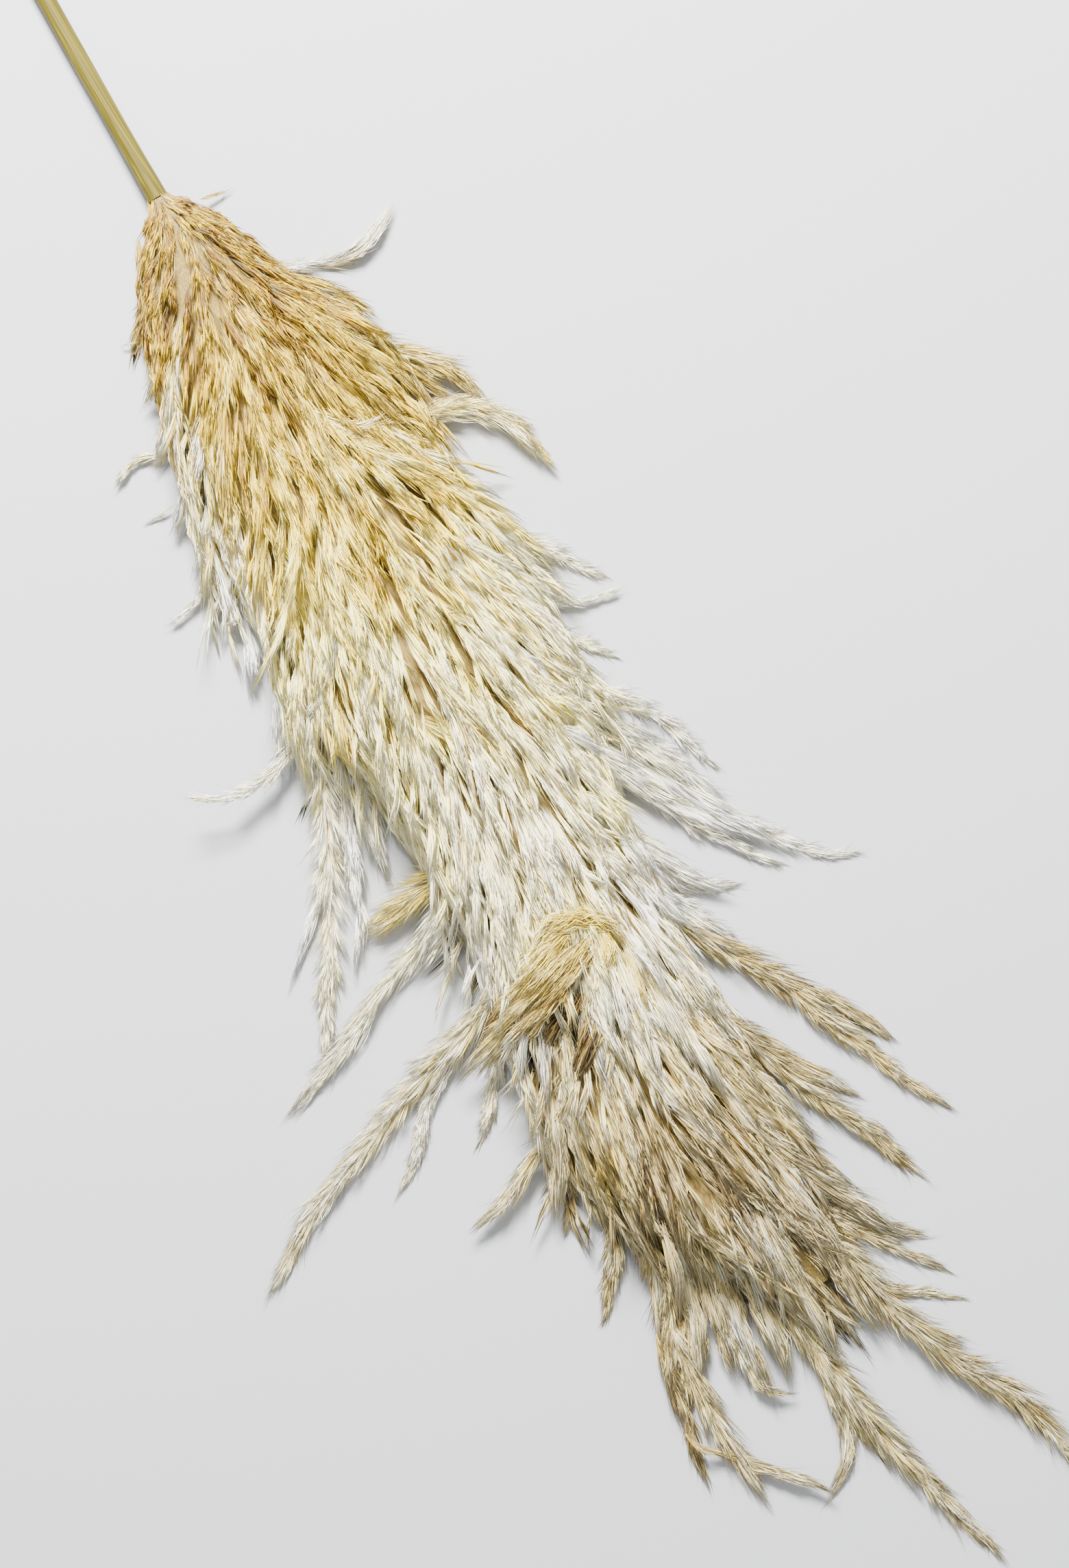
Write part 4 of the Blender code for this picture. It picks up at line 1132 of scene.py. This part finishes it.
def loose_locks():
    """Locks placed one by one, on top of the dense middle or beyond its edge."""
    routes = []
    widths = []
    looks = []
    t = np.linspace(0.0, 1.0, LOCK_STEPS + 1)
    for width, lift, pixels, look in LOOSE_LOCKS:
        width, lift = width / 1000, lift / 1000
        route = smooth_route(pixels, LOCK_STEPS)
        along = route[:, 0] - BASE[0]
        aside = route[:, 1] - BASE[1]
        plus, minus = body_section(along)[:2]
        out = np.maximum(aside - plus, minus - aside)
        over = body_height(along, aside)
        beyond = np.clip(out / LOOSE_EDGE, 0.0, 1.0)
        ground = over * (1 - beyond) + width * 0.3 * beyond
        # the root lies under the plume's own hair
        route[:, 2] = ground + lift * np.sin(math.pi * (0.04 + 0.72 * t))
        routes.append(route)
        widths.append(width / 2 * body_profile(t))
        looks.append(look)
    routes = np.array(routes)
    looks = np.array(looks)
    ups = np.zeros_like(routes)
    ups[..., 2] = 1.0
    tone, gold, cool = zone_look(routes[:, LOCK_STEPS // 2])
    return Locks(routes, ups, np.array(widths), tone + looks[:, 0],
                 gold * LOOSE_GOLD + looks[:, 1], cool + looks[:, 2])


def add_underfur(bundles, edges, count):
    """Clumps rooted evenly all over the dense middle, under its locks."""
    tree, corners, faces = body_shape()
    place, normal = scatter_on_body(corners, faces, count * UNDERFUR_TRIALS)
    chosen = far_apart(place, count)
    place, normal = place[chosen], normal[chosen]
    heading = flow_heading(place, normal, rng.normal(0.0, UNDERFUR_TURN, count))
    early = 1.0 - smooth_step(place[:, 0] - BASE[0], 0.0, SHORT_HAIR_TO)
    length = rng.uniform(*HAIR_LENGTH, count) * (1.0 - SHORT_HAIR * early)
    first = place - normal * UNDERFUR_SINK
    middle = first + heading * (length * 0.5)[:, None]
    last = first + heading * length[:, None]
    rise = rng.uniform(*UNDERFUR_RISE, count)
    spots = []
    for point, lift in ((middle, rise * 0.8 + UNDERFUR_LIFT), (last, rise + UNDERFUR_LIFT)):
        ground = np.array([tree.find_nearest(spot)[0] for spot in point])
        gap = np.linalg.norm(ground - point, axis=1)
        on = (gap < UNDERFUR_GAP)[:, None]
        spots.append(np.where(on, ground, point) + normal * lift[:, None])
    tone, gold, cool = zone_look(place)
    gold = gold + UNDERFUR_GOLD * (1.0 - lateness(place[:, 0]))
    spread = rng.uniform(*CLUMP_HALF_WIDTH, count)
    part = np.searchsorted(edges, place[:, 0])
    for i, bundle in enumerate(bundles):
        mask = part == i
        points = [first[mask], spots[0][mask], spots[1][mask]]
        # the underfur's tone is lowered by painted shade, as it lies under the locks
        grow_clumps(bundle, points, spread[mask], normal[mask], tone[mask] - UNDERFUR_SHADE,
                    gold[mask], cool[mask], CLUMP_HAIRS, UNDERFUR_RADIUS, thinning=0.0)


def add_stalks(bundle, locks, which, count):
    """Thin brown stalks along the locks' branches, which show where the clumps part; their dark
    tone is partly the stalks' own brown and partly painted shade between the clumps.
    """
    lock = np.repeat(which, count)
    total = len(lock)
    late = lateness(locks.route[lock, 0, 0])
    span = rng.uniform(*STALK_LENGTH, total) * (1.0 + late) / locks.length[lock]
    begin = rng.uniform(0.0, 1.0, total) * (1.0 - 0.8 * np.minimum(span, 1.0))
    turn = rng.uniform(0.1, 3.0, total)
    points = []
    for part, out in zip((0.0, 0.5, 1.0), STALK_OUT):
        point, across, above = locks.frame_at(lock, begin + span * part)
        off = locks.width_at(lock, begin + span * part) * out
        points.append(point + (np.cos(turn) * off)[:, None] * across
                      + (np.sin(turn) * off * LOCK_FLATNESS)[:, None] * above)
    look = np.empty((total, 3))
    # dark brown, partly the stalks' own colour and partly painted shade between the clumps
    look[:, 0] = rng.uniform(*STALK_TONE, total) + 0.12 * (1.0 - late)
    look[:, 1] = rng.uniform(0.4, 1.0, total) * (1.0 - late)
    look[:, 2] = 0.0
    radius = HAIR_RADIUS * rng.uniform(*STALK_THICKNESS, total)
    bundle.add(*points, across, above, radius, look)


def width_share(t):
    """A plumelet's width along it: narrow at the root, full a third of the way, pointed."""
    return np.where(t < 0.3, 0.45 + 0.55 * np.sin(math.pi / 2 * np.minimum(t, 0.3) / 0.3),
                    np.cos(math.pi / 2 * np.clip((t - 0.3) / 0.7, 0.0, 1.0)) ** 0.75)


def plumelet_spine(name, width, root_height, tip_lift, pixels):
    """The plumelet's branch and half width, from where it parts from the plume to its tip."""
    width, root_height, tip_lift = width / 1000, root_height / 1000, tip_lift / 1000
    tuck = HIDDEN_TUCK if name in HIDDEN_ROOTS else ROOT_TUCK
    route = smooth_route(pixels, PLUMELET_STEPS, tuck)
    t = np.linspace(0.0, 1.0, PLUMELET_STEPS + 1)
    lie = width / 2 * FLATNESS * width_share(np.minimum(t, 0.97))
    sink = np.maximum(0.0, 1.0 - t / 0.45) ** 2
    height = lie + (root_height - lie) * sink + tip_lift * t ** 1.5
    if name in OVER_THE_BODY:
        over = body_height(route[:, 0] - BASE[0], route[:, 1] - BASE[1])
        depth = HIDDEN_DEPTH if name in HIDDEN_ROOTS else 0.0
        hidden = depth * (1.0 - smooth_step(t, 0.12, 0.40))
        height = np.maximum(height, over + lie * 0.9 - hidden)
    route[:, 2] = height
    return route, width / 2 * width_share(t) * (1.0 - 0.12 * t)


def plumelet_locks(plumelets):
    """The plumelets' branches, each begun further back, on top of the plume."""
    routes = []
    widths = []
    upright = np.array(((0.0, 0.0, 1.0),))
    for plumelet in plumelets:
        name = plumelet[0]
        route, width = plumelet_spine(*plumelet)
        onward = unit(route[1] - route[0])
        step = FORK_STEP if name in FORKED or name in HIDDEN_ROOTS else BACK_STEP
        back = [route[0]]
        for k in range(BACK_STEPS):
            heading = flow_heading(back[-1][None], upright, np.zeros(1))[0]
            heading = unit(heading + onward * (0.6 - 0.1 * k) * np.array((1, 1, 0)))
            spot = back[-1] - heading * step
            along = max(spot[0] - BASE[0], LOCK_START)
            spot[0] = BASE[0] + along
            over = body_height(np.array((along,)), np.array((spot[1] - BASE[1],)))[0]
            if k > 0:
                spot[2] = max(over + BACK_LIFT, route[0, 2])
            else:
                spot[2] = (over + route[0, 2]) / 2 + FIRST_LIFT
            if name in HIDDEN_ROOTS:
                spot[2] = min(over - HIDDEN_BACK, route[0, 2])
            if name in FORKED:
                spot[2] = route[0, 2]
            back.append(spot)
        thin = np.linspace(*BACK_WIDTHS, BACK_STEPS) * min(plumelet[1] / 1000 / 2, BACK_HALF_WIDTH)
        whole = np.concatenate((np.array(back[:0:-1]), route))
        # the heights are evened out, each over five points
        whole[:, 2] = np.convolve(np.pad(whole[:, 2], 2, mode="edge"), np.ones(5) / 5, mode="valid")
        routes.append(whole)
        widths.append(np.concatenate((thin, np.maximum(width, THINNEST))))
    routes = np.array(routes)
    ups = np.zeros_like(routes)
    ups[..., 2] = 1.0
    tone, gold, cool = zone_look(routes[:, -PLUMELET_STEPS // 2])
    for i, plumelet in enumerate(plumelets):
        shift = PLUMELET_LOOK.get(plumelet[0], (0.0, 0.0, 0.0))
        tone[i] += shift[0]
        gold[i] = gold[i] * 0.6 + 0.14 + shift[1]
        cool[i] = cool[i] * 0.6 + 0.15 + shift[2]
    return Locks(routes, ups, np.array(widths), tone, gold, cool)


def add_spine(name, material, routes):
    """The thin branches inside the plumelets, as one mesh of closed tapered tubes."""
    corners = []
    faces = []
    for route in routes:
        count = len(route)
        forward = unit(np.gradient(route, axis=0))
        side = unit(np.cross(np.array((0.0, 0.0, 1.0)), forward))
        up = np.cross(forward, side)
        start = len(corners)
        for i in range(count):
            size = BRANCH_RADIUS * (1.0 - 0.75 * i / (count - 1))
            for k in range(5):
                angle = math.tau * k / 5
                point = route[i] + side[i] * math.cos(angle) * size + up[i] * math.sin(angle) * size
                corners.append((point[0], point[1], max(point[2], FLOOR_CLEARANCE)))
        for i in range(count - 1):
            for k in range(5):
                a = start + i * 5 + k
                b = start + i * 5 + (k + 1) % 5
                faces.append((a, b, b + 5, a + 5))
        faces.append(tuple(start + k for k in reversed(range(5))))
        faces.append(tuple(start + (count - 1) * 5 + k for k in range(5)))
    mesh = bpy.data.meshes.new(name)
    mesh.from_pydata(corners, [], faces)
    mesh.shade_smooth()
    return add_piece(name, mesh, material)


def add_core(material):
    """The dense middle's own form, a little smaller, so that no gap shows through the hair; its
    dark colour is partly painted shade.
    """
    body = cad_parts["plume_body"]
    mesh = body.data.copy()
    mesh.name = "plume_shaded_core"
    mesh.materials.clear()
    for vert in mesh.vertices:
        along = vert.co.x - BASE[0]
        plus, minus = body_section(along)[:2]
        middle = BASE[1] + (plus + minus) / 2
        vert.co.y = middle + (vert.co.y - middle) * CORE_WIDTH
        vert.co.z = CORE_CLEARANCE + vert.co.z * CORE_HEIGHT * branch_level(along)
    return add_piece("plume_shaded_core", mesh, material)


# The camera and the light
def add_camera():
    middle = to_frame((PICTURE_SIZE[0] / 2, PICTURE_SIZE[1] / 2))
    data = bpy.data.cameras.new("camera")
    data.sensor_fit = "VERTICAL"
    data.sensor_height = SENSOR_HEIGHT
    data.lens = SENSOR_HEIGHT * CAMERA_HEIGHT / (PICTURE_SIZE[1] * METRES_PER_PIXEL)
    camera = bpy.data.objects.new("camera", data)
    turn = Matrix((PICTURE_RIGHT, PICTURE_UP, Vector((0.0, 0.0, 1.0)))).transposed()
    camera.matrix_world = Matrix.Translation((middle[0], middle[1], CAMERA_HEIGHT)) @ turn.to_4x4()
    bpy.context.collection.objects.link(camera)
    bpy.context.scene.camera = camera


def add_lights():
    """One large soft light beyond the picture's top edge, and a pale sky."""
    data = bpy.data.lights.new("key", "AREA")
    data.size = KEY_SIZE
    data.energy = KEY_POWER
    data.color = KEY_COLOUR
    light = bpy.data.objects.new("key", data)
    place = PICTURE_UP * 1.0 - PICTURE_RIGHT * 0.15 + Vector((0.0, 0.0, KEY_HEIGHT))
    light.location = place
    light.rotation_euler = (-place).to_track_quat("-Z", "Y").to_euler()
    bpy.context.collection.objects.link(light)
    world = bpy.data.worlds.new("studio")
    world.use_nodes = True
    set_inputs(world.node_tree.nodes["Background"], {"Color": SKY_COLOUR, "Strength": 1.0})
    bpy.context.scene.world = world


def add_floor():
    mesh = bpy.data.meshes.new("floor")
    corners = [(x * FLOOR_REACH, y * FLOOR_REACH, 0)
               for x, y in ((-1, -1), (1, -1), (1, 1), (-1, 1))]
    mesh.from_pydata(corners, [], [(0, 1, 2, 3)])
    add_piece("floor", mesh, floor_material())


def dress(piece, slot, *replaced):
    """Every piece rides on the one body."""
    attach(piece, "root")
    if replaced:
        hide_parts(*replaced)


def clump_counts(locks, density):
    return ((locks.width.mean(1) * 2 + OUTLINE_MARGIN) * locks.length * density).astype(int)


def clump_spread(width, share):
    return np.minimum(rng.uniform(*CLUMP_HALF_WIDTH, len(width)), width * share + SPREAD_MARGIN)


def add_plume(material):
    """The hair of the dense middle, in parts from the plume's base to its end."""
    locks = body_locks(LOCK_COUNT)
    middles = locks.route[:, LOCK_STEPS // 2, 0]
    edges = np.quantile(middles, np.arange(1, len(BODY_PARTS)) / len(BODY_PARTS))
    bundles = [Hair() for _ in BODY_PARTS]
    part = np.searchsorted(edges, middles)
    for i, bundle in enumerate(bundles):
        which = np.nonzero(part == i)[0]
        points, width, *rest = locks.clumps(
            which, LOCK_CLUMPS, HAIR_LENGTH, BODY_TURNS, LOCK_FLATNESS, BODY_FLARE)
        spread = rng.uniform(*CLUMP_HALF_WIDTH, len(width))
        grow_clumps(bundle, points, spread, *rest, CLUMP_HAIRS, HAIR_RADIUS)
        add_stalks(bundle, locks, which, STALKS)
    add_underfur(bundles, edges, UNDERFUR_CLUMPS)
    for label, bundle in zip(BODY_PARTS, bundles):
        dress(bundle.build("plume_hair_" + label, material), "plume_hair", "plume_body")


def add_loose(material):
    locks = loose_locks()
    bundle = Hair()
    points, width, *rest = locks.clumps(
        np.arange(len(locks.length)), clump_counts(locks, LOOSE_DENSITY), HAIR_LENGTH,
        LOOSE_TURNS, FLATNESS, BODY_FLARE)
    grow_clumps(bundle, points, clump_spread(width, 0.5), *rest, CLUMP_HAIRS, HAIR_RADIUS)
    dress(bundle.build("plume_hair_loose", material), "plume_hair")


def add_plumelets(group, material, straw):
    """The hair of one side's plumelets, and the branches inside it."""
    chosen = [(f"plumelet_{group}_{i:02d}", *plumelet)
              for i, plumelet in enumerate(PLUMELETS[group], 1)]
    locks = plumelet_locks(chosen)
    bundle = Hair()
    points, width, *rest = locks.clumps(
        np.arange(len(chosen)), clump_counts(locks, PLUMELET_DENSITY), PLUMELET_HAIR_LENGTH,
        PLUMELET_TURNS, FLATNESS, PLUMELET_FLARE, PLUMELET_LONG_HAIR, PLUMELET_CLOSE_HAIR)
    grow_clumps(bundle, points, clump_spread(width, 0.4), *rest, PLUMELET_HAIRS,
                HAIR_RADIUS * PLUMELET_THICKNESS)
    dress(bundle.build("plumelet_hair_" + group, material), "plumelet_hair",
          *[plumelet[0] for plumelet in chosen])
    dress(add_spine("plumelet_branches_" + group, straw, locks.route), "plumelet_hair")


def main():
    add_camera()
    add_lights()
    add_floor()
    plume = hair_material("plume_hair")
    pale = hair_material("plumelet_hair")
    straw = branch_material()
    add_plume(plume)
    add_loose(plume)
    dress(add_core(core_material()), "plume_hair", "plume_body")
    for group in PLUMELETS:
        add_plumelets(group, pale, straw)
    material = stem_material()
    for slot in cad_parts["stem"].material_slots:
        slot.material = material


main()
